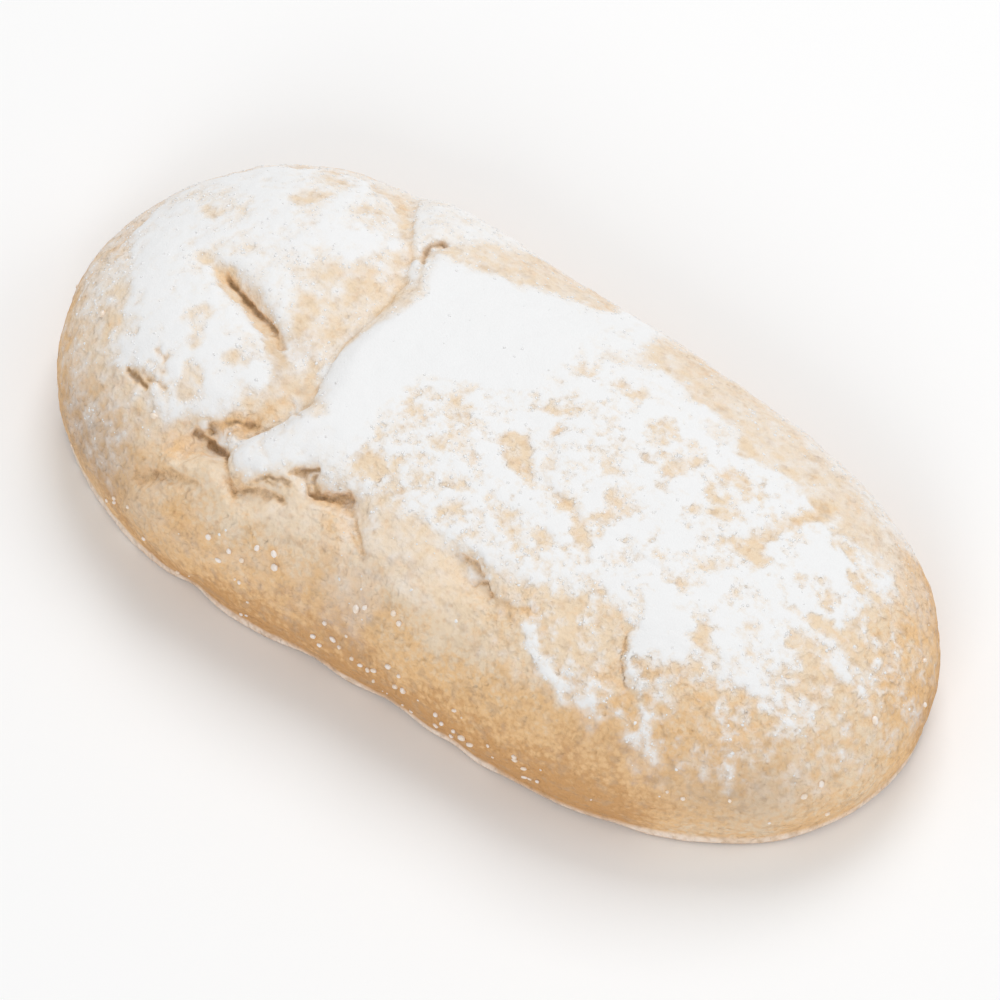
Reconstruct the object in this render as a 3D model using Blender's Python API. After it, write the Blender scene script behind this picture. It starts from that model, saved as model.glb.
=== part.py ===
"""A large, soft, oval ladyfinger: one solid sponge biscuit with a folded flap, a slit and a thin foot.

Metres, +Z up. The origin is at the middle of the biscuit's flat underside. +X runs to the narrower
end, and +Y to the side that lies away from the torn ledge. A grid is laid over the biscuit in rings,
from the stem, a line along the crown, out to the rim that it stands on. Its corners then move in and
out along the skin's normals for the flap, the creases and the swellings of the dough.
"""

import bisect
import math
from typing import NamedTuple

import bmesh
import bpy
from mathutils import Vector, noise
from mathutils.bvhtree import BVHTree


class Crack(NamedTuple):
    """A crease in the skin: its path in plan, its depth and half of its width at the middle."""

    path: tuple
    depth: float
    half_width: float


class Swelling(NamedTuple):
    """A round swelling, or a hollow where the height is below 0, by its place in plan."""

    x: float
    y: float
    height: float
    radius: float


class Notch(NamedTuple):
    """A place where the foot's edge steps in and lifts off the table."""

    x: float
    y: float
    inward: float
    lift: float
    width: float


HEIGHT = 0.0216
HALF_LENGTH = 0.0542
HALF_WIDTH = 0.0268
BULGE_HEIGHT = 0.27 * HEIGHT
STEM_HALF_LENGTH = 0.5 * HALF_LENGTH
CROWN_POWER = 2.6
SHOULDER_POWER = 2.2
# The crown sinks by this share of the height from the middle of the length to an end.
ARCH = 0.12

# The outline where the sides bulge out furthest, as a round through these points, anticlockwise.
OUTLINE = (
    (0.0543, 0.0012),
    (0.0503, 0.0128),
    (0.0411, 0.0207),
    (0.0255, 0.0254),
    (0.0023, 0.0269),
    (-0.0220, 0.0266),
    (-0.0407, 0.0230),
    (-0.0502, 0.0138),
    (-0.0542, 0.0012),
    (-0.0509, -0.0116),
    (-0.0419, -0.0212),
    (-0.0241, -0.0267),
    (0.0024, -0.0258),
    (0.0271, -0.0247),
    (0.0420, -0.0187),
    (0.0510, -0.0106),
)
OUTLINE_SAMPLES = 720
PROFILE_SAMPLES = 200

# Rings from the stem to the bulge, then the rows of the waist and foot below it, each as its
# reach, a share of the way from the stem to the outline, and its height.
DOME_RINGS = 24
FOOT_ROWS = (
    (0.990, 0.0038),
    (0.970, 0.0020),
    (0.962, 0.0012),
    (0.972, 0.0008),
    (0.968, 0.0),
)
STEM_CELLS = 36
PAD_REACH = 0.925

# The foot's edge is wavy: it steps in and out, and lifts off the table where it steps in.
RIM_STEP = 0.0004
RIM_LIFT = 0.0006
RIM_LIFT_RANGE = (0.05, 0.45)
RIM_WAVE_LENGTH = 0.011
RIM_WAVE_START = Vector((3.1, 7.7, 0.4))
RIM_NOTCHES = (
    Notch(-0.0204, -0.0248, inward=0.0011, lift=0.0009, width=0.0026),
    Notch(-0.0049, -0.0248, inward=0.0003, lift=0.0008, width=0.0034),
    Notch(0.0051, -0.0243, inward=0.0004, lift=0.0007, width=0.0040),
    Notch(0.0134, -0.0238, inward=0.0007, lift=0.0006, width=0.0022),
    Notch(-0.0290, 0.0258, inward=0.0008, lift=0.0003, width=0.0040),
)

# The flap's edge crosses the biscuit from the far side to the torn ledge on the near side.
FLAP_EDGE = (
    (-0.0295, 0.0250),
    (-0.0268, 0.0212),
    (-0.0238, 0.0170),
    (-0.0206, 0.0128),
    (-0.0186, 0.0087),
    (-0.0184, 0.0040),
    (-0.0187, -0.0008),
    (-0.0181, -0.0050),
    (-0.0171, -0.0090),
    (-0.0184, -0.0133),
    (-0.0212, -0.0171),
    (-0.0238, -0.0197),
)
FLAP_LIFT = 0.0008
FLAP_SPREAD = 0.0100
FLAP_LIP = 0.0022
FLAP_FADE_IN = 0.10
TROUGH_DEPTH = 0.0010
TROUGH_SPREAD = 0.0050
# The trough deepens into a gully over this range of the way towards the torn ledge.
GULLY_DEPTH = 0.0011
GULLY_RANGE = (0.66, 0.92)

CRACKS = {
    "slit": Crack(
        ((-0.0392, -0.0011), (-0.0342, -0.0017), (-0.0283, -0.0040), (-0.0229, -0.0057)),
        depth=0.0020,
        half_width=0.0011,
    ),
    "flap_corner": Crack(
        ((-0.0262, -0.0183), (-0.0230, -0.0191), (-0.0200, -0.0200)),
        depth=0.0018,
        half_width=0.0011,
    ),
    "ledge_fold": Crack(
        ((-0.0190, -0.0205), (-0.0165, -0.0212), (-0.0140, -0.0202), (-0.0112, -0.0190)),
        depth=0.0012,
        half_width=0.0011,
    ),
    "torn_ledge": Crack(
        ((-0.0129, -0.0159), (-0.0094, -0.0171), (-0.0063, -0.0166), (-0.0026, -0.0193)),
        depth=0.0018,
        half_width=0.0012,
    ),
    "low_crease": Crack(
        ((0.0045, -0.0154), (0.0085, -0.0159), (0.0113, -0.0164), (0.0135, -0.0178)),
        depth=0.0015,
        half_width=0.0012,
    ),
    "end_crease": Crack(
        ((0.0275, -0.0118), (0.0279, -0.0146), (0.0302, -0.0167), (0.0330, -0.0180)),
        depth=0.0009,
        half_width=0.0011,
    ),
    "wall_fold": Crack(
        ((-0.0294, -0.0242), (-0.0262, -0.0237), (-0.0222, -0.0234)),
        depth=0.0011,
        half_width=0.0011,
    ),
    "pinch": Crack(
        ((-0.0204, 0.0118), (-0.0201, 0.0143), (-0.0195, 0.0160), (-0.0178, 0.0178)),
        depth=0.0013,
        half_width=0.0010,
    ),
    "cross_line": Crack(
        ((0.0276, 0.0007), (0.0301, 0.0032), (0.0323, 0.0069)),
        depth=0.0005,
        half_width=0.0011,
    ),
}
STEPS_PER_PATH_POINT = 5
# A crack narrows and shallows towards its ends, down to these shares of its width and length.
CRACK_END = 0.03
CRACK_END_WIDTH = 0.6
CRACK_TAPER = 0.6
CRACK_REACH = 4.0
SNAP_DISTANCE = 0.00065
EVENING_ROUNDS = 3
EVENING_FACTOR = 0.5

SWELLINGS = (
    Swelling(-0.0399, -0.0083, height=0.0007, radius=0.0080),
    Swelling(-0.0329, 0.0107, height=0.0006, radius=0.0090),
    Swelling(-0.0109, -0.0215, height=0.0010, radius=0.0058),
    Swelling(0.0046, -0.0205, height=0.0011, radius=0.0056),
    Swelling(-0.0264, -0.0255, height=0.0008, radius=0.0036),
    Swelling(0.0226, -0.0208, height=0.0006, radius=0.0050),
    Swelling(0.0041, -0.0003, height=-0.0004, radius=0.0050),
    Swelling(0.0301, -0.0063, height=0.0005, radius=0.0070),
    Swelling(0.0011, 0.0137, height=0.0005, radius=0.0100),
    Swelling(-0.0129, -0.0118, height=0.0006, radius=0.0050),
)

UNDULATION = 0.00035
UNDULATION_LENGTH = 0.0120
CRUMPLE = 0.00013
CRUMPLE_LENGTH = 0.0036
# The relief starts between these heights, so that the foot stays even.
RELIEF_RANGE = (0.0022, 0.0050)

SHARP_ANGLE = math.radians(60)
SPONGE_COLOUR = (0.62, 0.42, 0.22, 1.0)
SPONGE_ROUGHNESS = 0.85


def clear_scene():
    """Removes whatever the scene holds."""
    for old in list(bpy.data.objects):
        bpy.data.objects.remove(old)


def smoothstep(low, high, value):
    """A smooth rise from 0 at low to 1 at high."""
    share = min(1.0, max(0.0, (value - low) / (high - low)))
    return share * share * (3.0 - 2.0 * share)


def bell(distance, radius):
    """A round hump: 1 at no distance, falling to nothing a few radii out."""
    return math.exp(-((distance / radius) ** 2))


def spline_point(points, position, closed):
    """A point on the smooth curve through the given points, at a position counted in points."""
    count = len(points)
    start = math.floor(position)
    share = position - start
    if closed:
        near = [Vector(points[(start + step) % count]) for step in (-1, 0, 1, 2)]
    else:
        near = [Vector(points[min(max(start + step, 0), count - 1)]) for step in (-1, 0, 1, 2)]
    before, first, second, after = near
    slope_in = (second - before) / 2.0
    slope_out = (after - first) / 2.0
    square, cube = share**2, share**3
    return (
        first * (2 * cube - 3 * square + 1)
        + slope_in * (cube - 2 * square + share)
        + second * (3 * square - 2 * cube)
        + slope_out * (cube - square)
    )


def smooth_path(points):
    """The curve through the points, as a list of close points in plan."""
    steps = (len(points) - 1) * STEPS_PER_PATH_POINT
    return [spline_point(points, step / STEPS_PER_PATH_POINT, False) for step in range(steps + 1)]


class Walk:
    """A line of close points, which gives the place at any share of its length."""

    def __init__(self, points):
        self.points = points
        self.lengths = [0.0]
        for first, second in zip(points, points[1:]):
            self.lengths.append(self.lengths[-1] + (second - first).length)

    def place(self, share):
        """The place at a share of the length, 0 to 1."""
        target = share * self.lengths[-1]
        index = min(bisect.bisect_right(self.lengths, target), len(self.points) - 1)
        start, end = self.lengths[index - 1], self.lengths[index]
        return self.points[index - 1].lerp(self.points[index], (target - start) / (end - start))


def outline_walk():
    """The outline, walked anticlockwise from the +X end."""
    steps = range(OUTLINE_SAMPLES + 1)
    return Walk([spline_point(OUTLINE, len(OUTLINE) * step / OUTLINE_SAMPLES, True) for step in steps])


def ring_rows():
    """Each ring's reach from the stem to the outline, 0 to 1, and its height over the table."""
    curve = []
    for step in range(PROFILE_SAMPLES + 1):
        turn = 0.5 * math.pi * step / PROFILE_SAMPLES
        reach = math.sin(turn) ** (2.0 / CROWN_POWER)
        rise = max(0.0, math.cos(turn)) ** (2.0 / SHOULDER_POWER)
        curve.append(Vector((reach * HALF_WIDTH, BULGE_HEIGHT + (HEIGHT - BULGE_HEIGHT) * rise)))
    profile = Walk(curve)
    places = [profile.place(ring / DOME_RINGS) for ring in range(DOME_RINGS + 1)]
    return [(place.x / HALF_WIDTH, place.y) for place in places] + list(FOOT_ROWS)


def arched(height, x):
    """A height over the table, lowered towards the ends of the biscuit."""
    share = max(0.0, height - BULGE_HEIGHT) / (HEIGHT - BULGE_HEIGHT)
    return height - share * HEIGHT * ARCH * (x / HALF_LENGTH) ** 2


def share_and_ring(column, row, half_columns, half_rows):
    """Where the ray from the stem through a corner of the grid ends, and the corner's ring.

    The end is a share of the way round the grid's border, anticlockwise from the +X end.
    """
    stem_half = half_columns - half_rows
    ring = max(abs(row), abs(column) - stem_half)
    if ring <= 0:
        return 0.0, 0
    scale = half_rows / ring
    stem = min(stem_half, max(-stem_half, column))
    border_column = stem + (column - stem) * scale
    border_row = row * scale
    if abs(row) == ring:
        if border_row > 0:
            walked = half_rows + (half_columns - border_column)
        else:
            walked = 3 * half_rows + 2 * half_columns + (half_columns + border_column)
    elif border_column > 0:
        walked = border_row % (4 * (half_rows + half_columns))
    else:
        walked = half_rows + 2 * half_columns + (half_rows - border_row)
    return walked / (4.0 * (half_rows + half_columns)), ring


def rim_changes(point):
    """How far the foot's edge steps out, and how far it lifts, near a point of the outline."""
    wave = noise.noise(point.to_3d() / RIM_WAVE_LENGTH + RIM_WAVE_START)
    step = RIM_STEP * wave
    lift = RIM_LIFT * smoothstep(*RIM_LIFT_RANGE, -wave)
    for notch in RIM_NOTCHES:
        closeness = bell((point - Vector((notch.x, notch.y))).length, notch.width)
        step -= notch.inward * closeness
        lift = max(lift, notch.lift * closeness)
    return step, lift


def lay_grid():
    """The smooth biscuit without relief, as an open sheet that ends at the foot's lower edge."""
    rows = ring_rows()
    rings = len(rows) - 1
    half_columns = rings + STEM_CELLS // 2
    stem_half = half_columns - rings
    sheet = bmesh.new()
    bmesh.ops.create_grid(sheet, x_segments=2 * half_columns, y_segments=2 * rings, size=1.0)
    outline = outline_walk()
    for vert in sheet.verts:
        column = round(vert.co.x * half_columns)
        row = round(vert.co.y * rings)
        share, ring = share_and_ring(column, row, half_columns, rings)
        reach, height = rows[ring]
        stem = Vector((min(stem_half, max(-stem_half, column)) * STEM_HALF_LENGTH / stem_half, 0.0))
        edge = outline.place(share)
        place = stem.lerp(edge, reach)
        if ring > DOME_RINGS:
            step, lift = rim_changes(edge)
            foot = smoothstep(0, len(FOOT_ROWS) - 1, ring - DOME_RINGS)
            place += (edge - stem).normalized() * step * foot
            height += lift * foot
        vert.co = (place.x, place.y, arched(height, place.x))
    sheet.normal_update()
    return sheet


def on_surface(tree, plan_points):
    """Plan points dropped onto the smooth biscuit."""
    above = Vector((0.0, 0.0, 2.0 * HEIGHT))
    hits = [tree.ray_cast(point.to_3d() + above, Vector((0.0, 0.0, -1.0)))[0] for point in plan_points]
    return [hit for hit in hits if hit is not None]


def nearest_on_path(point, path):
    """Distance to a path, the share of the path walked there, and the side: above 0 on its left."""
    best = (math.inf, 0.0, 1.0)
    count = len(path) - 1
    for index in range(count):
        start, along = path[index], path[index + 1] - path[index]
        share = min(1.0, max(0.0, (point - start).dot(along) / along.length_squared))
        away = point - (start + along * share)
        if away.length < best[0]:
            side = along.x * away.y - along.y * away.x
            best = (away.length, (index + share) / count, side)
    return best


def flap_relief(point, path):
    """The flap stands up on its left, and the dough dips in a trough on its right."""
    distance, share, side = nearest_on_path(point, path)
    fade = smoothstep(0.0, FLAP_FADE_IN, share)
    depth = TROUGH_DEPTH + GULLY_DEPTH * smoothstep(*GULLY_RANGE, share)
    if side < 0:
        return -fade * depth * bell(distance, TROUGH_SPREAD)
    rise = smoothstep(0.0, FLAP_LIP, distance)
    return fade * (FLAP_LIFT * rise * bell(distance, FLAP_SPREAD) - depth * (1.0 - rise))


def crack_relief(point, path, crack):
    """A crack, deep in its middle and running out to nothing at its ends."""
    distance, share, _ = nearest_on_path(point, path)
    if distance > CRACK_REACH * crack.half_width:
        return 0.0
    inside = min(1.0 - CRACK_END, max(CRACK_END, share))
    opening = math.sin(math.pi * inside) ** CRACK_TAPER
    width = crack.half_width * (CRACK_END_WIDTH + (1.0 - CRACK_END_WIDTH) * opening)
    return -crack.depth * opening * bell(distance, width)


def draw_onto_paths(sheet, paths, tree):
    """Pulls the grid's nearest corners onto each path, so that a crease runs along edges.

    The other corners of the dome are then spaced evenly between them, and kept on the skin.
    """
    free = []
    for vert in sheet.verts:
        if vert.co.z < BULGE_HEIGHT:
            continue
        for path in paths:
            distance, share, _ = nearest_on_path(vert.co, path)
            if distance < SNAP_DISTANCE and 0.0 < share < 1.0:
                position = share * (len(path) - 1)
                start = min(int(position), len(path) - 2)
                vert.co = path[start].lerp(path[start + 1], position - start)
                break
        else:
            free.append(vert)
    for _ in range(EVENING_ROUNDS):
        bmesh.ops.smooth_vert(
            sheet, verts=free, factor=EVENING_FACTOR, use_axis_x=True, use_axis_y=True, use_axis_z=True
        )
        for vert in free:
            vert.co = tree.find_nearest(vert.co)[0]
    sheet.normal_update()


def model_biscuit():
    """The whole biscuit as one closed mesh."""
    sheet = lay_grid()
    tree = BVHTree.FromBMesh(sheet)
    flap = on_surface(tree, smooth_path(FLAP_EDGE))
    cracks = [(on_surface(tree, smooth_path(crack.path)), crack) for crack in CRACKS.values()]
    tops = [on_surface(tree, [Vector((swelling.x, swelling.y))])[0] for swelling in SWELLINGS]
    draw_onto_paths(sheet, [flap] + [path for path, _ in cracks], tree)
    moves = []
    for vert in sheet.verts:
        point = vert.co
        relief = flap_relief(point, flap)
        relief += sum(crack_relief(point, path, crack) for path, crack in cracks)
        for top, swelling in zip(tops, SWELLINGS):
            relief += swelling.height * bell((point - top).length, swelling.radius)
        relief += UNDULATION * noise.noise(point / UNDULATION_LENGTH)
        relief += CRUMPLE * noise.noise(point / CRUMPLE_LENGTH)
        moves.append(vert.normal * relief * smoothstep(*RELIEF_RANGE, point.z))
    for vert, move in zip(sheet.verts, moves):
        vert.co += move
    close_underside(sheet)
    return sheet


def close_underside(sheet):
    """Draws the foot's lower edge in to a flat pad, and fills the pad with one face."""
    rim = [edge for edge in sheet.edges if edge.is_boundary]
    skirt = bmesh.ops.extrude_edge_only(sheet, edges=rim)["geom"]
    inner = [vert for vert in skirt if isinstance(vert, bmesh.types.BMVert)]
    for vert in inner:
        vert.co.x *= PAD_REACH
        vert.co.y *= PAD_REACH
        vert.co.z = 0.0
    pad_edges = [edge for edge in skirt if isinstance(edge, bmesh.types.BMEdge) and edge.is_boundary]
    bmesh.ops.edgeloop_fill(sheet, edges=pad_edges)
    bmesh.ops.recalc_face_normals(sheet, faces=sheet.faces)


def centre_in_plan(mesh):
    """Moves the mesh so that the middle of its box in plan is at the origin."""
    for axis in (0, 1):
        values = [vert.co[axis] for vert in mesh.vertices]
        middle = (min(values) + max(values)) / 2.0
        for vert in mesh.vertices:
            vert.co[axis] -= middle


def sponge_material():
    """Pale golden baked sponge."""
    material = bpy.data.materials.new("sponge")
    material.use_nodes = True
    shader = material.node_tree.nodes["Principled BSDF"]
    shader.inputs["Base Color"].default_value = SPONGE_COLOUR
    shader.inputs["Roughness"].default_value = SPONGE_ROUGHNESS
    shader.inputs["Metallic"].default_value = 0.0
    return material


def main():
    """Builds the ladyfinger as one object in its own collection."""
    clear_scene()
    collection = bpy.data.collections.new("ladyfinger")
    bpy.context.scene.collection.children.link(collection)
    biscuit = model_biscuit()
    mesh = bpy.data.meshes.new("ladyfinger")
    biscuit.to_mesh(mesh)
    biscuit.free()
    centre_in_plan(mesh)
    mesh.materials.append(sponge_material())
    mesh.shade_smooth()
    mesh.set_sharp_from_angle(angle=SHARP_ANGLE)
    collection.objects.link(bpy.data.objects.new("ladyfinger", mesh))


if __name__ == "__main__":
    main()
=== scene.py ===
"""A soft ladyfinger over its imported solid: baked sponge crust, powdered sugar and sugar beads.

Places are in millimetres from the middle of the biscuit's underside, +X to the narrower end, +Z up.
"""

import logging
import math
from collections.abc import Iterator
from contextlib import contextmanager
from dataclasses import dataclass
from enum import Enum
from typing import NamedTuple

import bpy
import numpy as np
from mathutils import Matrix, Vector, noise
from mathutils.bvhtree import BVHTree

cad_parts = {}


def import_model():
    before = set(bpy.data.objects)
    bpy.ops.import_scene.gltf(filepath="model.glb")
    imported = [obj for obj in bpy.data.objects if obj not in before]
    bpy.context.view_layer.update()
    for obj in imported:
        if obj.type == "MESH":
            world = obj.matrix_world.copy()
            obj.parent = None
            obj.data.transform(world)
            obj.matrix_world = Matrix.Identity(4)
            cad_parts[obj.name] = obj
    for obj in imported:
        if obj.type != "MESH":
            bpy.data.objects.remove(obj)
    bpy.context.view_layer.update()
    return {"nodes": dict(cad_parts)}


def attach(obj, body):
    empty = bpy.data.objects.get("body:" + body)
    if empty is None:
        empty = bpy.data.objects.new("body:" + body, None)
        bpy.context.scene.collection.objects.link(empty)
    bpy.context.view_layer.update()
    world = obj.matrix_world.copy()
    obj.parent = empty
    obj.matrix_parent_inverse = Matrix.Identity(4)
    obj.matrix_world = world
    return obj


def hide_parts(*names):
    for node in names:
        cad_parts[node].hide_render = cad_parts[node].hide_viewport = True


LOG = logging.getLogger("ladyfinger")

MM = 0.001
BODY = "root"
NODE = "ladyfinger"
# Keeps a triangle without an area from dividing by 0.
TINY_AREA = 1e-12

Span = tuple[float, float]
Place = tuple[float, float, float]
Path = tuple[tuple[float, float], ...]
Line = tuple[Place, ...]
Colour = tuple[float, float, float]
Arrays = tuple[np.ndarray, np.ndarray]
Socket = bpy.types.NodeSocket


def smoothstep(low: float, high: float, value: np.ndarray) -> np.ndarray:
    """Rises smoothly from 0 at low to 1 at high.

    Args:
        low: the value that gives 0.
        high: the value that gives 1.
        value: what is measured.

    Returns:
        The smooth share for each value.
    """
    share = np.clip((value - low) / (high - low), 0.0, 1.0)
    return share * share * (3.0 - 2.0 * share)


def dome(distance: np.ndarray, radius: float | np.ndarray) -> np.ndarray:
    """A soft round bump: 1 in the middle, about a third at the radius and nearly 0 at twice the radius."""
    return np.exp(-((distance / radius) ** 2))


def fade_ends(span: Span, share: np.ndarray) -> np.ndarray:
    """Fades to 0 towards both ends of a path, by the share of the way along."""
    return smoothstep(*span, share) * smoothstep(*span, 1.0 - share)


def deselect_all() -> None:
    """Leaves no object selected or active."""
    for item in bpy.context.selected_objects:
        item.select_set(False)
    bpy.context.view_layer.objects.active = None


def make_active(item: bpy.types.Object) -> None:
    """Selects one object alone and makes it active."""
    deselect_all()
    item.select_set(True)
    bpy.context.view_layer.objects.active = item


@contextmanager
def edit_mode() -> Iterator[None]:
    """Edits the active mesh inside the block, and goes back to object mode after it."""
    bpy.ops.object.mode_set(mode="EDIT")
    yield
    bpy.ops.object.mode_set(mode="OBJECT")


def rough_ball(subdivisions: int, roughness: float, seed: int) -> bpy.types.Object:
    """Models an uneven ball, a millimetre in radius.

    Args:
        subdivisions: how finely it is divided.
        roughness: how far its points are moved, in millimetres.
        seed: the seed of the unevenness.

    Returns:
        The ball.
    """
    deselect_all()
    bpy.ops.mesh.primitive_ico_sphere_add(subdivisions=subdivisions, radius=MM)
    with edit_mode():
        bpy.ops.mesh.select_all(action="SELECT")
        bpy.ops.transform.vertex_random(offset=roughness * MM, seed=seed)
    return bpy.context.object


class Nearest(NamedTuple):
    """What lies nearest on a path: the distance, the side (+1 on its left) and the share of the way along."""

    distance: np.ndarray
    side: np.ndarray
    share: np.ndarray


def nearest_on_path(points: np.ndarray, path: Path | Line) -> Nearest:
    """Measures points against a path, both in plan or both in space.

    Args:
        points: the points, one row each.
        path: the corners of the path.

    Returns:
        The nearest distance, the side and the share along the path for each point.
    """
    if len(path) == 1:
        distance = np.linalg.norm(points - np.array(path[0]), axis=1)
        return Nearest(distance, np.ones(len(points)), np.full(len(points), 0.5))
    corners = np.array(path, float)
    legs = corners[1:] - corners[:-1]
    lengths = np.linalg.norm(legs, axis=1)
    total = lengths.sum()
    best = np.full(len(points), np.inf)
    side = np.ones(len(points))
    share = np.zeros(len(points))
    walked = 0.0
    for start, leg, length in zip(corners, legs, lengths):
        offset = points - start
        along = np.clip(offset @ leg / length**2, 0.0, 1.0)
        gap = offset - along[:, None] * leg
        distance = np.linalg.norm(gap, axis=1)
        closer = distance < best
        best[closer] = distance[closer]
        turn = leg[0] * offset[:, 1] - leg[1] * offset[:, 0]
        side[closer] = np.where(turn[closer] >= 0.0, 1.0, -1.0)
        share[closer] = (walked + along[closer] * length) / total
        walked += length
    return Nearest(best, side, share)


def inside_outline(plan: np.ndarray, outline: Path) -> np.ndarray:
    """Tells which plan points lie inside a closed outline.

    Args:
        plan: the points, one row each.
        outline: the corners of the outline.

    Returns:
        True for each point inside.
    """
    inside = np.zeros(len(plan), bool)
    x, y = plan[:, 0], plan[:, 1]
    for (x0, y0), (x1, y1) in zip(outline, outline[1:] + outline[:1]):
        if y0 == y1:
            continue
        spans = (y0 > y) != (y1 > y)
        crossing = x0 + (y - y0) * (x1 - x0) / (y1 - y0)
        inside ^= spans & (x < crossing)
    return inside


class Grain(NamedTuple):
    """Smooth random relief in layers, each half as coarse as the one before.

    The size is that of the largest bumps in millimetres, and the shift sets one relief apart from another.
    """

    size: float
    layers: int
    shift: float

    def at(self, points: np.ndarray) -> np.ndarray:
        """The relief, about -1 to 1.

        Args:
            points: the points in millimetres, one row each.

        Returns:
            The relief at each point.
        """
        scaled = (points / self.size + self.shift).tolist()
        if self.layers == 1:
            return np.array([noise.noise(place) for place in scaled])
        return np.array([noise.fractal(place, 1.0, 2.0, self.layers) for place in scaled])


class MarkKind(Enum):
    """What a mark does to the sugar."""

    DUSTED = "lays a patch of sugar"
    BARE = "rubs sugar off"
    VEIL = "sets how much sugar dims the crust"
    UNEVEN = "sets how uneven the sugar is"


class Mark(NamedTuple):
    """A mark in the dusting: a line of some half width, or a closed outline where the half width is 0."""

    kind: MarkKind
    level: float
    path: Path
    half_width: float = 0.0

    def reach(self, plan: np.ndarray) -> np.ndarray:
        """How far inside the mark each plan point lies, in millimetres; outside is negative.

        Args:
            plan: the points, one row each.

        Returns:
            The signed distance for each point.
        """
        if self.half_width > 0.0:
            return self.half_width - nearest_on_path(plan, self.path).distance
        edge = nearest_on_path(plan, self.path + self.path[:1]).distance
        return np.where(inside_outline(plan, self.path), edge, -edge)


def marks(kind: MarkKind, *rows: tuple[float, Path] | tuple[float, Path, float]) -> tuple[Mark, ...]:
    """Marks of one kind, in the order they are made; a row is a level, a path and a half width."""
    return tuple(Mark(kind, *row) for row in rows)


class Fold(NamedTuple):
    """A crack or fold: cut into the crust, darkened with painted shade, and one lip may stand over the other.
    """

    path: Path
    depth: float
    half_width: float
    darkness: float
    step: float = 0.0
    raggedness: float = 0.0


FLAP_EDGE: Path = (
    (-29.5, 25), (-26.8, 21.2), (-23.8, 17), (-20.6, 12.8), (-18.6, 8.7), (-18.4, 4), (-18.7, -0.8),
    (-18.1, -5), (-17.1, -9), (-18.4, -13.3), (-21.2, -17.1), (-23.8, -19.7),
)

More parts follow.
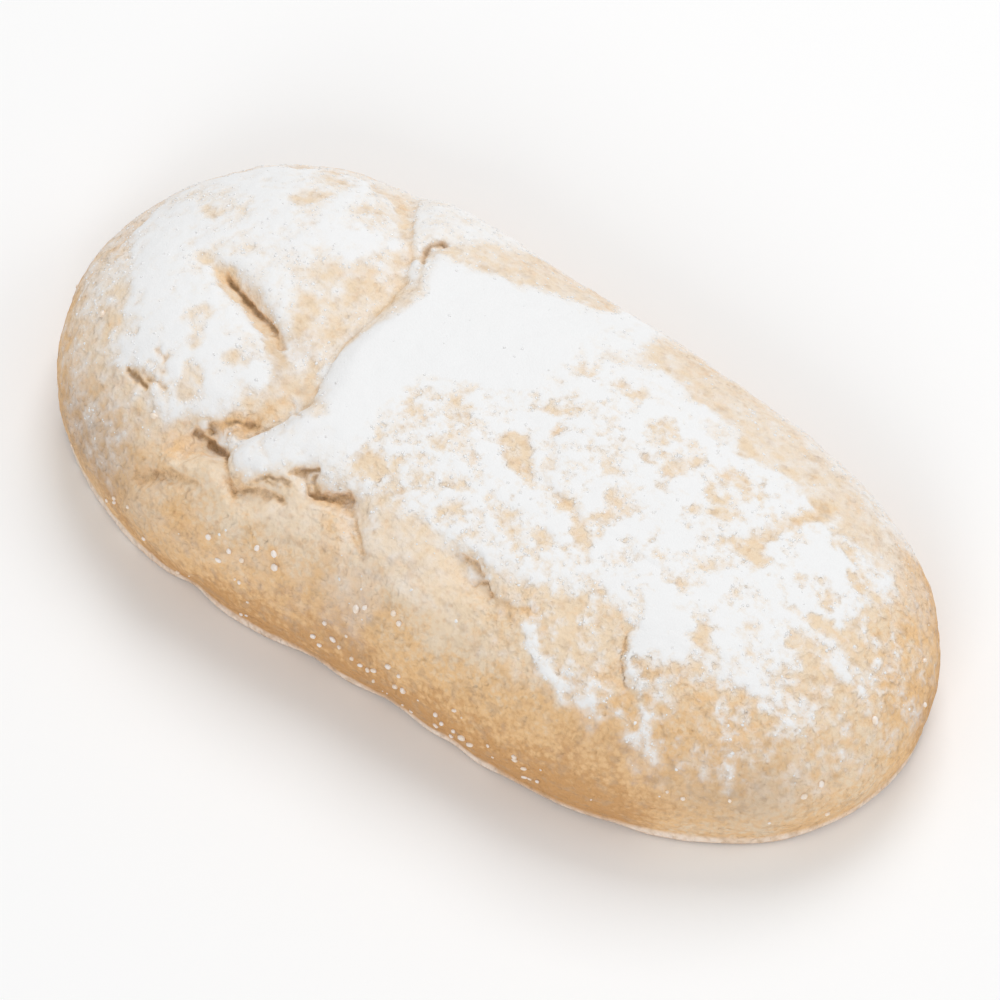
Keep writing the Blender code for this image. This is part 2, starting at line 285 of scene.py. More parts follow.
FOLDS: tuple[Fold, ...] = (
    # The edge of the flap stands over the trough beside it.
    Fold(FLAP_EDGE, depth=0.12, half_width=0.35, darkness=0.30, step=0.30, raggedness=0.35),
    # The slit in the broad end: two dark lines that meet in a pit.
    Fold((
        (-36, -0.9), (-33.6, -1.7), (-31.1, -2.6), (-29.1, -3.2), (-27.3, -3.7), (-25.2, -4.3),
    ), 0.60, 0.25, 0.95, 0.22, 0.14),
    Fold(((-35, -0.7), (-33, -1.3), (-30.8, -2), (-28.6, -2.8), (-26.6, -3.6)), 0.20, 0.50, 0.30, 0.0, 0.20),
    Fold(((-26.6, -4.2), (-25.4, -4.9), (-24.6, -5.4), (-23.6, -5.3)), 0.35, 0.32, 0.50, 0.0, 0.45),
    # The gully above the torn ledge and the crack that runs round the ledge's corner.
    Fold((
        (-25.6, -16.9), (-24.2, -16.3), (-22.9, -15.5), (-21.8, -14.8), (-20.2, -13.8),
    ), 0.40, 0.42, 0.80, 0.0, 0.55),
    Fold(((-23.2, -16.4), (-22.3, -16.2), (-21.3, -15.6), (-20.6, -14.9)), 0.25, 0.30, 0.60, 0.0, 0.55),
    Fold(((-21.2, -14.8), (-19.6, -14.9), (-18.3, -15.8), (-16.8, -17.6)), 0.15, 0.30, 0.30, 0.0, 0.35),
    Fold(((-22, -15.3), (-20.6, -13.4), (-19.8, -11.6), (-18.4, -9.4)), 0.20, 0.60, 0.22, 0.0, 0.55),
    Fold(((-19.4, -10.2), (-18.2, -10.9), (-17, -11.6), (-15.8, -12.4)), 0.15, 0.28, 0.45, 0.0, 0.35),
    Fold((
        (-26.8, -18.2), (-25.4, -17.5), (-24, -17.3), (-22.6, -17.6), (-21.6, -18.3), (-20.4, -19.6),
    ), 0.60, 0.33, 0.95, 0.25, 0.28),
    Fold(((-21.2, -18.8), (-20, -20.1), (-19, -20.9), (-18, -21.3)), 0.30, 0.26, 0.55, 0.12, 0.15),
    Fold((
        (-19.9, -21), (-18.6, -21.1), (-17.7, -21.3), (-16.8, -20.9), (-15.4, -20.4), (-13.8, -20.1),
        (-11.4, -19.9),
    ), 0.35, 0.30, 0.68, 0.18, 0.35),
    Fold(((-18.4, -20.9), (-17.8, -21.5), (-17.2, -22.2)), 0.20, 0.50, 0.45, 0.0, 0.2),
    # The torn lower edge of the sugared tongue.
    Fold((
        (-16.6, -19.9), (-15.5, -19.3), (-14.4, -18.8), (-13.2, -18.5), (-11.8, -18.2),
    ), 0.30, 0.28, 0.75, 0.15, 0.40),
    Fold(((-15.6, -19.7), (-14.2, -19.3), (-12.8, -18.9)), 0.20, 0.24, 0.55, 0.0, 0.45),
    Fold(((-13.4, -18), (-12.7, -16.7), (-11.8, -16), (-10.6, -15.4)), 0.40, 0.38, 0.95, 0.15, 0.30),
    Fold(((-12.6, -16.3), (-11.3, -17), (-10.2, -17.8)), 0.30, 0.36, 0.85, 0.0, 0.40),
    Fold(((-11.4, -15.9), (-10.4, -16.8), (-9.4, -17.4)), 0.25, 0.32, 0.75, 0.0, 0.40),
    Fold((
        (-11, -17.5), (-9.6, -17.4), (-8.7, -16.8), (-7.9, -16.1), (-6.8, -15.8), (-5.6, -16),
    ), 0.55, 0.34, 0.95, 0.35, 0.38),
    Fold(((-9.6, -17.2), (-8.2, -16.7), (-6.8, -16.4), (-5.4, -17)), 0.15, 0.60, 0.45, 0.0, 0.30),
    Fold((
        (-6.2, -16.2), (-5, -17.2), (-4, -18.2), (-2.8, -18.9), (-1.2, -20.1),
    ), 0.28, 0.26, 0.42, 0.20, 0.40),
    Fold(((-4.6, -18.6), (-2.8, -19.4), (-1, -20.3)), 0.15, 0.24, 0.40, 0.0, 0.35),
    Fold(((-7.1, -19.2), (-6, -19.8), (-5, -20), (-3.8, -19.9)), 0.15, 0.26, 0.35, 0.1, 0.2),
    # The soft creases across the sugar.
    Fold(((4.6, -2.8), (7.6, -3.2), (11, -3.5), (14, -4), (16.4, -5.4)), 0.20, 0.42, 0.24, 0.12, 0.40),
    Fold(((18.6, -4), (21.6, -4.4), (24.6, -4.6), (27, -4.4)), 0.15, 0.40, 0.22, 0.10, 0.40),
    # The low crease on the near side and the small ones towards the narrower end.
    Fold(((6, -15), (7.8, -15), (9.7, -15), (11, -15.8), (13.6, -16.4)), 0.4, 0.34, 0.55, 0.25, 0.6),
    Fold(((8.6, -14.2), (9.6, -14), (10.6, -14.6)), 0.2, 0.3, 0.5, 0.0, 0.6),
    Fold(((11.6, -16.2), (14, -16.8), (16.6, -16.2), (18.8, -15.2)), 0.20, 0.34, 0.38, 0.10, 0.50),
    Fold((
        (27.3, -11), (27.5, -12.8), (28.2, -14.6), (29.6, -15.9), (30.8, -17),
    ), 0.3, 0.28, 0.50, 0.15, 0.55),
    # The shadowed creases in the near wall under the torn ledge.
    Fold(((-30.2, -24.2), (-28.6, -23.8), (-27, -23.5)), 0.25, 0.70, 0.50, 0.0, 0.3),
    Fold((
        (-28.4, -23.8), (-26.6, -23.3), (-25.2, -23), (-23.4, -22.9), (-21, -23),
    ), 0.35, 0.36, 0.50, 0.15, 0.2),
    Fold(((-25.2, -22.4), (-22.8, -22.2), (-20.6, -22.5)), 0.12, 0.26, 0.25, 0.0, 0.2),
    # The pits on the near edge of the broad end's sugar.
    Fold(((-37.4, -16), (-35.8, -16.6), (-34.4, -17), (-32.8, -16.8)), 0.3, 0.42, 0.85, 0.1, 0.35),
    Fold(((-35.4, -15.8), (-33.2, -16.2), (-30.8, -16.4)), 0.2, 0.32, 0.75, 0.0, 0.35),
    Fold(((-35.4, -14.8), (-33.8, -15), (-32.2, -15.3)), 0.15, 0.30, 0.60, 0.0, 0.35),
    Fold(((-35.2, -12.8), (-33, -14.1)), 0.22, 0.45, 0.80, 0.0, 0.35),
    # The pinch at the far end of the flap.
    Fold((
        (-18.4, 12), (-19.4, 13), (-20.2, 14.4), (-20.2, 15.6), (-19.4, 16.6), (-18.2, 16.6),
    ), 0.4, 0.26, 0.80, 0.15, 0.15),
    # A faint crease across the sugar towards the narrower end.
    Fold(((27.6, 0.7), (30.1, 3.2), (32.3, 6.9)), 0.12, 0.45, 0.15, 0.0, 0.4),
)


class Swell(NamedTuple):
    """A soft ridge, or a hollow where the height is negative, along a line over the crust."""

    path: Line
    height: float
    half_width: float


SWELLS: tuple[Swell, ...] = (
    # The broad end's lip runs under the torn ledge and down the near wall.
    Swell((
        (-25.1, -18.7, 15.5), (-22.7, -20.2, 16.6), (-20.5, -21.7, 17.3), (-19.2, -22.4, 16.7),
        (-17.3, -23.4, 15.8),
    ), 0.40, 0.7),
    Swell(((-25.6, -17.5, 15.8), (-24.5, -17.2, 15.3), (-22.9, -17.3, 15.2)), 0.35, 0.28),
    # The shell of crust under the shadowed crease, with a hollow and a bulge below it.
    Swell((
        (-27.6, -24.7, 12.6), (-26.2, -24.1, 13.5), (-24.1, -23.9, 14.2), (-21.8, -24.3, 14.8),
        (-20.6, -24.7, 14.4),
    ), 0.40, 0.6),
    Swell(((-27.8, -26.4, 10.6), (-26.3, -26.8, 9.4), (-25.1, -27, 8.2), (-24.6, -27, 6.4)), -0.45, 0.7),
    Swell(((-24.4, -26.2, 11.6), (-21.2, -25.9, 12.2), (-19.2, -25.4, 13)), -0.30, 0.9),
    Swell(((-23.4, -27, 8), (-20.6, -27.1, 7), (-18.6, -26.9, 6)), 0.30, 1.6),
    # The bulge below the low crease.
    Swell(((2.6, -21.6, 16.2), (6.4, -20.8, 17), (9.8, -19.6, 17.8)), 0.35, 1.9),
    # The trough beside the flap.
    Swell(((-23.6, 8, 20), (-22.4, 3, 20), (-22, -2.5, 20), (-22, -7.5, 19.4), (-21, -12, 18.6)), -0.30, 1.7),
)


class BakeAndShade(NamedTuple):
    """A soft spot, browner than the crust about it or paler where the amount is negative: partly the crust's
    own baking, partly painted shade where browner and painted light where paler.

    The last number greys and darkens a spot as painted shade.
    """

    place: Place
    radius: float
    amount: float
    dull_shade: float = 0.0


BAKE_AND_SHADE_SPOTS: tuple[BakeAndShade, ...] = (
    # Roughly from the broad end to the narrower end.
    BakeAndShade((-34.5, -23.8, 11), 5.0, 0.30, 0.60),
    BakeAndShade((-41, -20.8, 10), 5.0, 0.34, 0.50),
    BakeAndShade((-22.3, -25.3, 13.4), 3.2, 0.36),
    BakeAndShade((-12.3, -24.4, 14.7), 3.2, 0.36),
    BakeAndShade((-23.3, -9, 20), 2.6, 0.0, 0.36),
    BakeAndShade((-22.8, -4.8, 20.3), 2.4, 0.0, 0.34),
    BakeAndShade((-27.4, -26.5, 8.8), 3.6, -0.36, 0.32),
    BakeAndShade((-22.5, -27, 8), 3.0, -0.20, 0.08),
    BakeAndShade((-27.1, -19.8, 15.6), 2.4, 0.36),
    BakeAndShade((-23.6, -16, 17.4), 1.6, 0.60),
    BakeAndShade((-21.2, -14.4, 18), 1.4, 0.45),
    BakeAndShade((-17.8, -21.3, 17.4), 1.8, 0.35),
    BakeAndShade((-19, -25, 13), 5.0, -0.06),
    BakeAndShade((-1, -24.5, 12.8), 6.5, 0.36, 0.14),
    BakeAndShade((-4.5, -20.5, 17), 2.5, 0.15),
    BakeAndShade((-11.5, -21.5, 17), 4.0, -0.20),
    BakeAndShade((-8, -17.2, 18.2), 1.8, 0.45),
    BakeAndShade((4.5, -17.5, 18.2), 4.0, -0.10),
    BakeAndShade((7, -24.8, 10), 5.0, -0.15),
    BakeAndShade((20, -23.5, 12.5), 6.0, 0.10),
    BakeAndShade((15, -16.6, 19), 3.0, 0.22),
    BakeAndShade((32, -19.5, 14.5), 8.0, 0.34, 0.12),
    BakeAndShade((42, -14.5, 13.5), 7.0, 0.28),
    BakeAndShade((46.6, -14.6, 9.6), 5.0, -0.22, 0.50),
    BakeAndShade((40.8, -18.6, 9.6), 4.0, -0.22, 0.34),
    BakeAndShade((51, 5, 13.5), 4.5, 0.24),
    BakeAndShade((47.4, 11.4, 13.8), 4.0, 0.20),
    # Low on the wall and above the foot.
    BakeAndShade((10, -25.5, 3.5), 8.0, 0.12),
    BakeAndShade((26, -24, 4.5), 8.0, 0.26),
    BakeAndShade((53.5, -5, 4.5), 7.0, -0.65),
    BakeAndShade((47, -15.5, 4), 6.0, -0.75),
    BakeAndShade((40, -19.5, 2), 5.0, -0.55),
    BakeAndShade((-43, -20, 3), 5.0, -0.55),
    BakeAndShade((-37.5, -23.2, 2), 4.5, -0.60),
    BakeAndShade((-31, -25, 0), 4.0, -0.50),
    BakeAndShade((-22, -26, 0.5), 4.0, -0.25),
)

BROAD_END_SUGAR: Path = (
    (-50.5, 3), (-49.2, -1), (-47.4, -3.6), (-45, -6), (-43.2, -9), (-42, -11.6), (-40.4, -13.8),
    (-39, -16.6), (-36.8, -17), (-34, -16.6), (-32.6, -17.6), (-30.2, -18.6), (-28.2, -18.6), (-26.4, -16.6),
    (-24.4, -15.4), (-22.8, -13.6), (-22, -11.6), (-22.6, -9.6), (-23.8, -8), (-24.6, -6.6), (-25.6, -5.6),
    (-27.2, -4.6), (-30, -3.9), (-33, -2.9), (-35, -2), (-35.4, -0.6), (-32, -0.8), (-29, -1.6), (-27, -2),
    (-25.6, -1), (-25.2, 1.4), (-25, 5), (-24.4, 8.6), (-22.8, 11), (-21.6, 13.6), (-24, 16.4), (-27.2, 18.8),
    (-30, 20), (-34, 20.4), (-38, 19.2), (-42, 17.4), (-46, 14), (-48.8, 9.8), (-50.4, 5.6),
)

FLAP_SUGAR: Path = (
    (-18.2, 12), (-18.8, 14.6), (-16.8, 15.2), (-14, 15.6), (-11, 16.6), (-8, 17.8), (-5, 19), (-2, 20.4),
    (1, 20.4), (4, 19), (8, 18.6), (11, 17.4), (14, 16.6), (19.5, 16), (21.5, 15.4), (24, 14.4), (26, 14),
    (28, 14.6), (30.5, 14.8), (32, 13), (34, 12.6), (36.5, 12), (39, 12.6), (41, 13), (43, 11.8), (44.6, 9),
    (44.6, 6), (44, 3.4), (44.6, 0.5), (44, -1.8), (44, -3.8), (45, -6.4), (44.4, -7.8), (42.4, -8.8),
    (40.6, -10.4), (38, -11), (36.6, -11.2), (34.8, -10.2), (34, -12.2), (32, -13.6), (29.6, -14.2),
    (27.6, -12.6), (26, -11), (23.6, -11.6), (21, -11.8), (19, -12.6), (16, -13.2), (13, -14.4),
    (10.4, -14.6), (8, -14), (3, -14.2), (0, -14.2), (-3, -14.6), (-5.4, -15.6), (-7.6, -15.5), (-9.6, -16.8),
    (-11.6, -16.4), (-13.4, -17.2), (-14.4, -18.2), (-15.8, -19.2), (-17.2, -20.2), (-18.8, -20.2),
    (-20.2, -19.4), (-21, -18.2), (-22.4, -17.2), (-21.8, -16.4), (-20.6, -15.2), (-19.2, -14),
    (-18.4, -12.2), (-18.6, -10.6), (-16.8, -10.6), (-14.8, -10.9), (-16, -9.2), (-17.6, -7.5), (-18.6, -6),
    (-19, -4.6), (-18.7, -3), (-18.2, 0), (-17.8, 2), (-17.6, 3.6), (-16.8, 5.2), (-16, 6.6), (-15.8, 8.2),
    (-17.2, 10.4),
)

# How much sugar dims the open crust.
OPEN_CRUST = marks(
    MarkKind.VEIL,
    (0.35, (
        (-50, 6), (-46, 14), (-38, 19), (-28, 22), (-20, 26), (0, 27), (20, 26), (38, 20), (48, 11), (50, 5),
        (44, 9), (34, 13), (20, 16), (0, 19), (-20, 15), (-30, 16),
    )),
    (0.64, (
        (-52, 8), (-46, 16), (-38, 22), (-28, 25), (-16, 28), (20, 28), (38, 23), (42, 21), (43.4, 18.6),
        (42, 17), (38, 18.2), (20, 23.6), (10, 24), (0, 25), (-6, 24.6), (-16, 23.6), (-28, 21.6),
        (-38, 19.8), (-46, 13), (-50, 6),
    )),
    (0.92, ((-0.8, 18), (-0.4, 25), (5, 25), (6, 18))),
    (0.74, ((-28, 22), (-22, 26), (-13, 26), (-13, 23.6), (-18, 18), (-19.6, 15), (-21.6, 13))),
    (0.50, ((-54, 0), (-52, 8), (-48, 8), (-49, 0), (-46, -5), (-43, -10), (-46, -13), (-52, -6))),
    (0.34, ((-46, -12), (-41, -15), (-38, -18), (-27, -20), (-26, -26), (-40, -22), (-50, -12))),
    (0.42, ((-27, -3.6), (-26, 6), (-24, 12), (-19.5, 13), (-16, 8), (-17.5, -4), (-19, -6), (-24.4, -4.6))),
    (0.55, ((-24.4, 8.6), (-22.6, 14), (-19, 15.6), (-17.6, 12), (-19, 9.4))),
    (0.40, ((-19.8, 9.6), (-16.4, 8.4), (-16.2, 6), (-18.6, 4.6), (-20.6, 6.6))),
    (0.75, ((-22.8, -5.9), (-20.2, -5.8), (-19.4, -7.2), (-21.4, -7.5))),
    (0.36, (
        (-24, -7.6), (-19.6, -7.6), (-19.2, -9.8), (-18.6, -12), (-19.6, -14.6), (-22.2, -13.6), (-21.8, -11),
        (-23.6, -9.6),
    )),
    (0.32, ((-19.6, -5.2), (-18.2, -6.6), (-14.8, -10.5), (-18.8, -9.9), (-19.4, -7.6))),
    (0.14, (
        (-32, -21), (-24, -18), (-20, -20.4), (-14, -19.4), (-9, -17.4), (-6, -18), (-4, -20), (-4, -28),
        (-32, -28),
    )),
    (0.22, ((-10, -17.6), (-6, -18), (-3, -22), (-14, -22), (-14, -20))),
    (0.28, ((-5, -15.5), (8.5, -15.5), (8, -20.5), (-3.5, -21.5))),
    (0.16, ((9, -15.4), (18, -13.6), (18, -21.6), (8.4, -21.6))),
    (0.14, ((17, -12.5), (44, -7), (46, -11), (38, -18), (30, -21), (17, -20))),
    (0.16, ((45, 9), (50, 6), (53.5, 0), (52, -6), (48, -12), (43, -11), (43, -3), (45.5, 0))),
    (0.52, ((45.6, 0.6), (46.2, 3.6), (48.2, 5), (50.6, 3), (50.8, 0.8), (50, -1), (47, -1.2))),
    (0.18, ((52.6, 4), (54.6, 0), (53.4, -6), (50.6, -11.6), (49.8, -10), (51.8, -5), (52.6, 0))),
    (0.14, ((48.4, 10), (51.6, 9), (53.4, 4), (53.4, 1.6), (51.6, 2), (50, 4.6), (48.2, 7))),
    (0.00, ((3, -21.8), (20, -21.4), (36, -20.4), (46, -14.6), (50, -12.6), (40, -24), (3, -30))),
)

# The patches themselves.
PATCHES = marks(
    MarkKind.DUSTED,
    (0.88, BROAD_END_SUGAR),
    (0.86, FLAP_SUGAR),
    (1.20, (
        (-17.4, 13), (-10, 16), (-4, 18.2), (1, 17.6), (2, 6), (-2, 2), (-8.6, 0), (-10, -12), (-15, -12),
        (-14, -10), (-17.6, -5.6), (-17.6, -1), (-16.6, 4), (-15.2, 7.6),
    )),
    (1.00, ((-49, 3), (-47, -2), (-44, -4.5), (-40, -2.6), (-41, 2), (-44, 4.4))),
    (0.92, ((-43, -6), (-36, -3), (-29, -5.6), (-27.6, -9), (-32, -13), (-40, -11))),
    (1.10, ((34.5, 11), (40, 11.4), (42, 8.6), (41.6, 5.8), (38, 5.4), (34.5, 6))),
    (1.15, ((24, -5.6), (31, -4), (34.6, -5.6), (32, -12.6), (28.8, -12.6), (26, -9))),
    (1.05, ((4, -4.4), (12, -5), (14, -7.4), (8, -7.4))),
    (1.05, ((18, 2), (23, 2.6), (29, 0), (26, -2.4), (19, -2))),
    (1.05, ((5, 10.6), (14, 14), (22, 13.4), (20.6, 11), (14, 11.6), (9, 9.4))),
)

# Thinner parts of the patches.
THINNER_PARTS = marks(
    MarkKind.VEIL,
    (0.66, ((-48.4, 5.2), (-48, 9.4), (-43, 9.6), (-38.4, 7.8), (-36.8, 5.6), (-41, 4), (-44.4, 5.4))),
    (0.62, ((-38.8, 20), (-33.6, 20.6), (-32.4, 15), (-32.4, 8.6), (-36, 10.6), (-36.6, 15))),
    (0.52, ((-31.4, 19.4), (-26, 18.6), (-23.8, 14.4), (-26.4, 13), (-29.4, 15.6))),
    (0.74, ((-40, 2.6), (-34, 5.4), (-29, 6), (-24.6, 6.4), (-24.6, -4), (-28, -2.6), (-33.6, -0.6))),
    (0.48, ((-28.6, 7), (-24.4, 7), (-24, -1), (-26.6, -1.4))),
    (0.74, ((-36.6, -14.6), (-33, -13.6), (-30, -15.6), (-29.4, -18.6), (-33, -16.8), (-36.6, -16.4))),
    (0.72, ((-9.4, -1.4), (-4, 1.4), (0, 0), (0, -14.4), (-5, -15.4), (-9, -15.4))),
    (0.74, ((0.4, -8), (6, -8), (12, -8.2), (20, -8.4), (20, -12.8), (12, -14.2), (0.4, -14.2))),
    (0.80, ((15, 2.6), (14.4, 10.4), (21.4, 11.4), (28.6, 11.4), (28.6, 5), (22, 3.4))),
    (0.80, ((27.4, -1.2), (28.6, 4.6), (31, 11.6), (34, 12.6), (33.6, 3.4), (31, -1.4))),
    (0.84, ((15, -8.4), (14.6, 0), (18.6, 0.4), (18.6, -8.4))),
    (0.66, ((42, 0), (44.6, -1), (45.6, -4.4), (46.6, -7.6), (43.4, -8.6), (42, -4))),
    (0.62, ((37, 12), (40.4, 8), (43.4, 9.4), (45, 8.6), (44.6, 11.4), (41.6, 12.8))),
)

# Where the sugar is uneven or even.
EVENNESS = marks(
    MarkKind.UNEVEN,
    (0.40, (
        (-54, 0), (-46, 18), (-28, 26), (0, 28), (20, 27), (38, 22), (50, 12), (46, 11), (34, 15), (20, 18),
        (0, 20), (-20, 18), (-34, 21), (-48, 8), (-50, 0),
    )),
    (0.30, ((-18, 14), (-10, 17), (-4, 19), (1, 18), (1, 4), (-9, -1), (-10, -14), (-18, -14))),
    (1.06, ((-9, -1.5), (2, 6), (3, 13), (44, 12), (44, -8), (20, -12.4), (-4, -14.6), (-9, -14.5))),
    (1.12, (
        (15, -13), (27, -11.5), (42, -9), (44, 10), (52, 8), (54, -4), (44, -16), (30, -21), (16, -20.6),
    )),
    (0.45, ((-5, -15.8), (8.5, -15.8), (8, -20.5), (-4.5, -21.5))),
    (0.30, (
        (-30, -20), (-22, -20), (-12, -19), (16, -21.4), (40, -20), (50, -12), (44, -24), (0, -30),
        (-30, -28),
    )),
)

BARE_SPOTS = marks(
    MarkKind.BARE,
    # Bare spots on the broad end.
    (0.60, ((-39, -0.7), (-37.2, -0.7), (-35.4, -1)), 0.32),
    (0.22, ((-35.2, -1.4), (-32.4, -2.3), (-29, -3.3), (-26.4, -4.2)), 0.30),
    (0.26, ((-25.4, 1.2), (-24.4, -1.2)), 1.0),
    (0.22, ((-26.6, -7.6), (-26, -8.6)), 1.0),
    (0.40, ((-25.2, -5.4), (-24, -6.3), (-22.9, -7.2)), 0.35),
    (0.35, ((-39.4, -12),), 0.9),
    (0.65, ((-30.3, -13.3), (-29.4, -14.3), (-28.9, -15.2)), 0.8),
    (0.52, ((-34.3, -7.8), (-33.4, -7.2)), 0.8),
    (0.48, ((-32.6, -9.4), (-32, -10.2)), 0.8),
    (0.32, ((-27.6, -10),), 0.8),
    (0.25, ((-36.6, -16.3), (-33.8, -17)), 0.4),
    (0.30, ((-41.8, -11.8), (-41, -13.2)), 0.6),
    (0.30, ((-44.4, -8.6),), 0.7),
    (0.25, ((-41.5, 0.1),), 0.8),
    (0.30, ((-43.4, 5.6), (-42, 5)), 0.8),
    (0.25, ((-38, 1), (-35.2, 2)), 0.7),
    (0.35, ((-35.4, 12), (-34.6, 13.6)), 0.9),
    (0.30, ((-29.4, 15), (-28.8, 15.2)), 0.9),
    (0.20, ((-32.4, 8),), 0.7),
    (0.25, ((-36.8, 18.6), (-34.4, 17)), 0.8),
    (0.30, ((-28.6, 21.4), (-26.6, 19.2), (-24.6, 16.6), (-22.6, 14.2), (-20.6, 12.2)), 0.35),
    (0.22, ((-26.8, 4), (-25.6, 5.2)), 0.9),
    # Bare spots in the trough and on the near flank.
    (0.28, ((-17.8, 8.6), (-18.3, 6.6), (-18.6, 4.6)), 0.6),
    (0.32, ((-22.6, 5.4), (-20.6, 6.4)), 0.8),
    (0.30, ((-22, 3.4),), 0.7),
    (0.30, ((-21.6, 0.6), (-20.6, -0.8)), 0.7),
    (0.25, ((-24.4, -2.6), (-24, -3.6)), 0.7),
    (0.25, ((-20.4, -5), (-19.4, -5.6)), 0.5),
    (0.20, ((-19.2, -6.4), (-18.2, -8.4), (-17, -9.4)), 0.5),
    (0.35, ((-19.8, -11), (-20, -13), (-21.6, -14.8)), 0.6),
    (0.60, ((-22, -15.4), (-23.8, -16.2), (-25.4, -16.8)), 0.4),
    (0.30, ((-17.8, -12.4), (-16.6, -14)), 0.3),
    (0.30, ((-27.8, -9.6), (-27.2, -10.4)), 0.5),
    (0.30, ((-24, -12.2), (-22.4, -12.6)), 0.4),
    (0.15, ((-20.4, 12.6), (-21.4, 11)), 0.6),
    (0.35, ((-6.8, -4.8), (-6.2, -5.2)), 0.9),
    (0.30, ((-5, -7.2),), 0.7),
    (0.30, ((-7.7, -8.2), (-7.3, -7.8)), 0.9),
    (0.35, ((-1.8, -2.6), (-1.2, -3.6)), 0.7),
    (0.30, ((-2, -5.8), (-1.7, -6.4)), 0.8),
    (0.30, ((-2.2, -9.4), (-1.8, -10)), 0.9),
    (0.25, ((-4.4, -10.2),), 0.7),
    (0.40, ((-7.6, -12.2), (-6.4, -12.6)), 1.1),
    (0.20, ((-4, -1),), 0.8),
    (0.20, ((-5, 1), (-4.4, 1.4)), 0.7),
    (0.35, ((-4.6, -13), (-2.6, -13.4)), 0.8),
    (0.25, ((-4, -15.4), (-1, -14.6), (2, -14.8)), 0.9),
    # Bare spots in the middle.
    (0.60, ((3.6, -1), (4.6, -1.8), (6, -2.8)), 1.1),
    (0.28, ((6.6, -2.8), (10, -3.5), (14, -4), (16, -5.6), (18, -7.5)), 0.45),
    (0.30, ((8, 0.8), (8.2, -1.6)), 0.7),
    (0.35, ((16, -0.5), (17, -3.5), (16.6, -6)), 0.7),
    (0.35, ((13.2, -8.4), (13.9, -8.8)), 0.9),
    (0.35, ((2, -8.5),), 1.0),
    (0.30, ((4.4, -10.4), (4.8, -11), (3.6, -12.4)), 0.8),
    (0.25, ((1.5, -5.5),), 0.8),
    (0.25, ((6.6, -8), (7.4, -8.2)), 0.8),
    (0.30, ((9.4, -9.6), (10.8, -10)), 0.8),
    (0.35, ((20.6, -10.2), (21.6, -10.2), (22, -11.8)), 0.7),
    (0.35, ((24.6, -11.6), (25.6, -11.8)), 0.7),
    (0.60, ((12.4, -16.8), (15, -16.4), (17.6, -15.3)), 1.0),
    (0.40, ((3, 3.8), (4.6, 4.8), (6.4, 6.2)), 0.55),
    (0.20, ((11.2, 3.2), (13.8, 3)), 0.7),
    (0.22, ((18, -0.5), (20.4, 0)), 0.8),
    (0.32, ((3.8, 11.2), (4.4, 12.4)), 0.7),
    (0.25, ((8, 12), (8.6, 10.8)), 0.6),
    (0.55, ((10.3, 11.6),), 0.8),
    (0.20, ((6, 15.6), (7.4, 17)), 1.0),
    (0.40, ((15.2, 10.6), (16.4, 9.6)), 0.8),
    (0.40, ((17.3, 6.4), (18.8, 6.8)), 1.1),
    (0.25, ((18, 13.6), (19.6, 14)), 0.7),
    (0.35, ((21, 9), (21.4, 8.2)), 0.7),
    (0.42, ((23.4, 9.4), (24.4, 10.4), (26.2, 10), (27.4, 9), (26.8, 6.8), (24.8, 6.4), (23.4, 7.4)), 0.5),
    (0.30, ((25, 4.5), (27.6, 5)), 0.7),
    (0.20, ((23.5, 3.5),), 0.7),
    (0.30, ((23.2, 14),), 0.7),
    # Bare spots towards the narrower end.
    (0.50, ((29.6, 2.8), (31.6, 3.6), (33, 3.4)), 0.8),
    (0.30, ((31.5, 5), (32, 7), (32.8, 9)), 0.8),
    (0.50, ((33.4, 13.6), (33.8, 12), (33.2, 10.6)), 0.8),
    (0.25, ((30, -0.8),), 0.7),
    (0.45, ((28.2, -4.8), (28.9, -5.6)), 0.7),
    (0.30, ((25.6, -4), (24, -3.4)), 0.6),
    (0.70, ((32.6, -7), (33.6, -7.4), (34, -8.6)), 0.7),
    (0.50, ((34.5, -12.4), (35.2, -13.2)), 0.8),
    (0.50, ((37.1, -3.7),), 0.85),
    (0.55, ((40.7, -1.1), (41.2, -2)), 0.8),
    (0.55, ((40.7, 4.2),), 0.75),
    (0.30, ((37.2, 11.6), (38.6, 11)), 0.7),
    (0.22, ((37.5, 3.5),), 0.8),
    (0.85, ((42, 1.4), (43.4, 1), (45.5, 1.7), (47.4, 2.3)), 0.65),
    (0.50, ((42, 8.6), (43.4, 8.4), (44.4, 7.4)), 0.7),
    (0.55, ((43.6, -1.4), (44.5, -3), (45, -4.6)), 0.8),
    (0.35, ((42.2, -5.6),), 0.8),
    (0.30, ((47, -4.4), (48.8, -4)), 1.0),
    (0.30, ((47, 7), (48.6, 9.4)), 1.0),
)

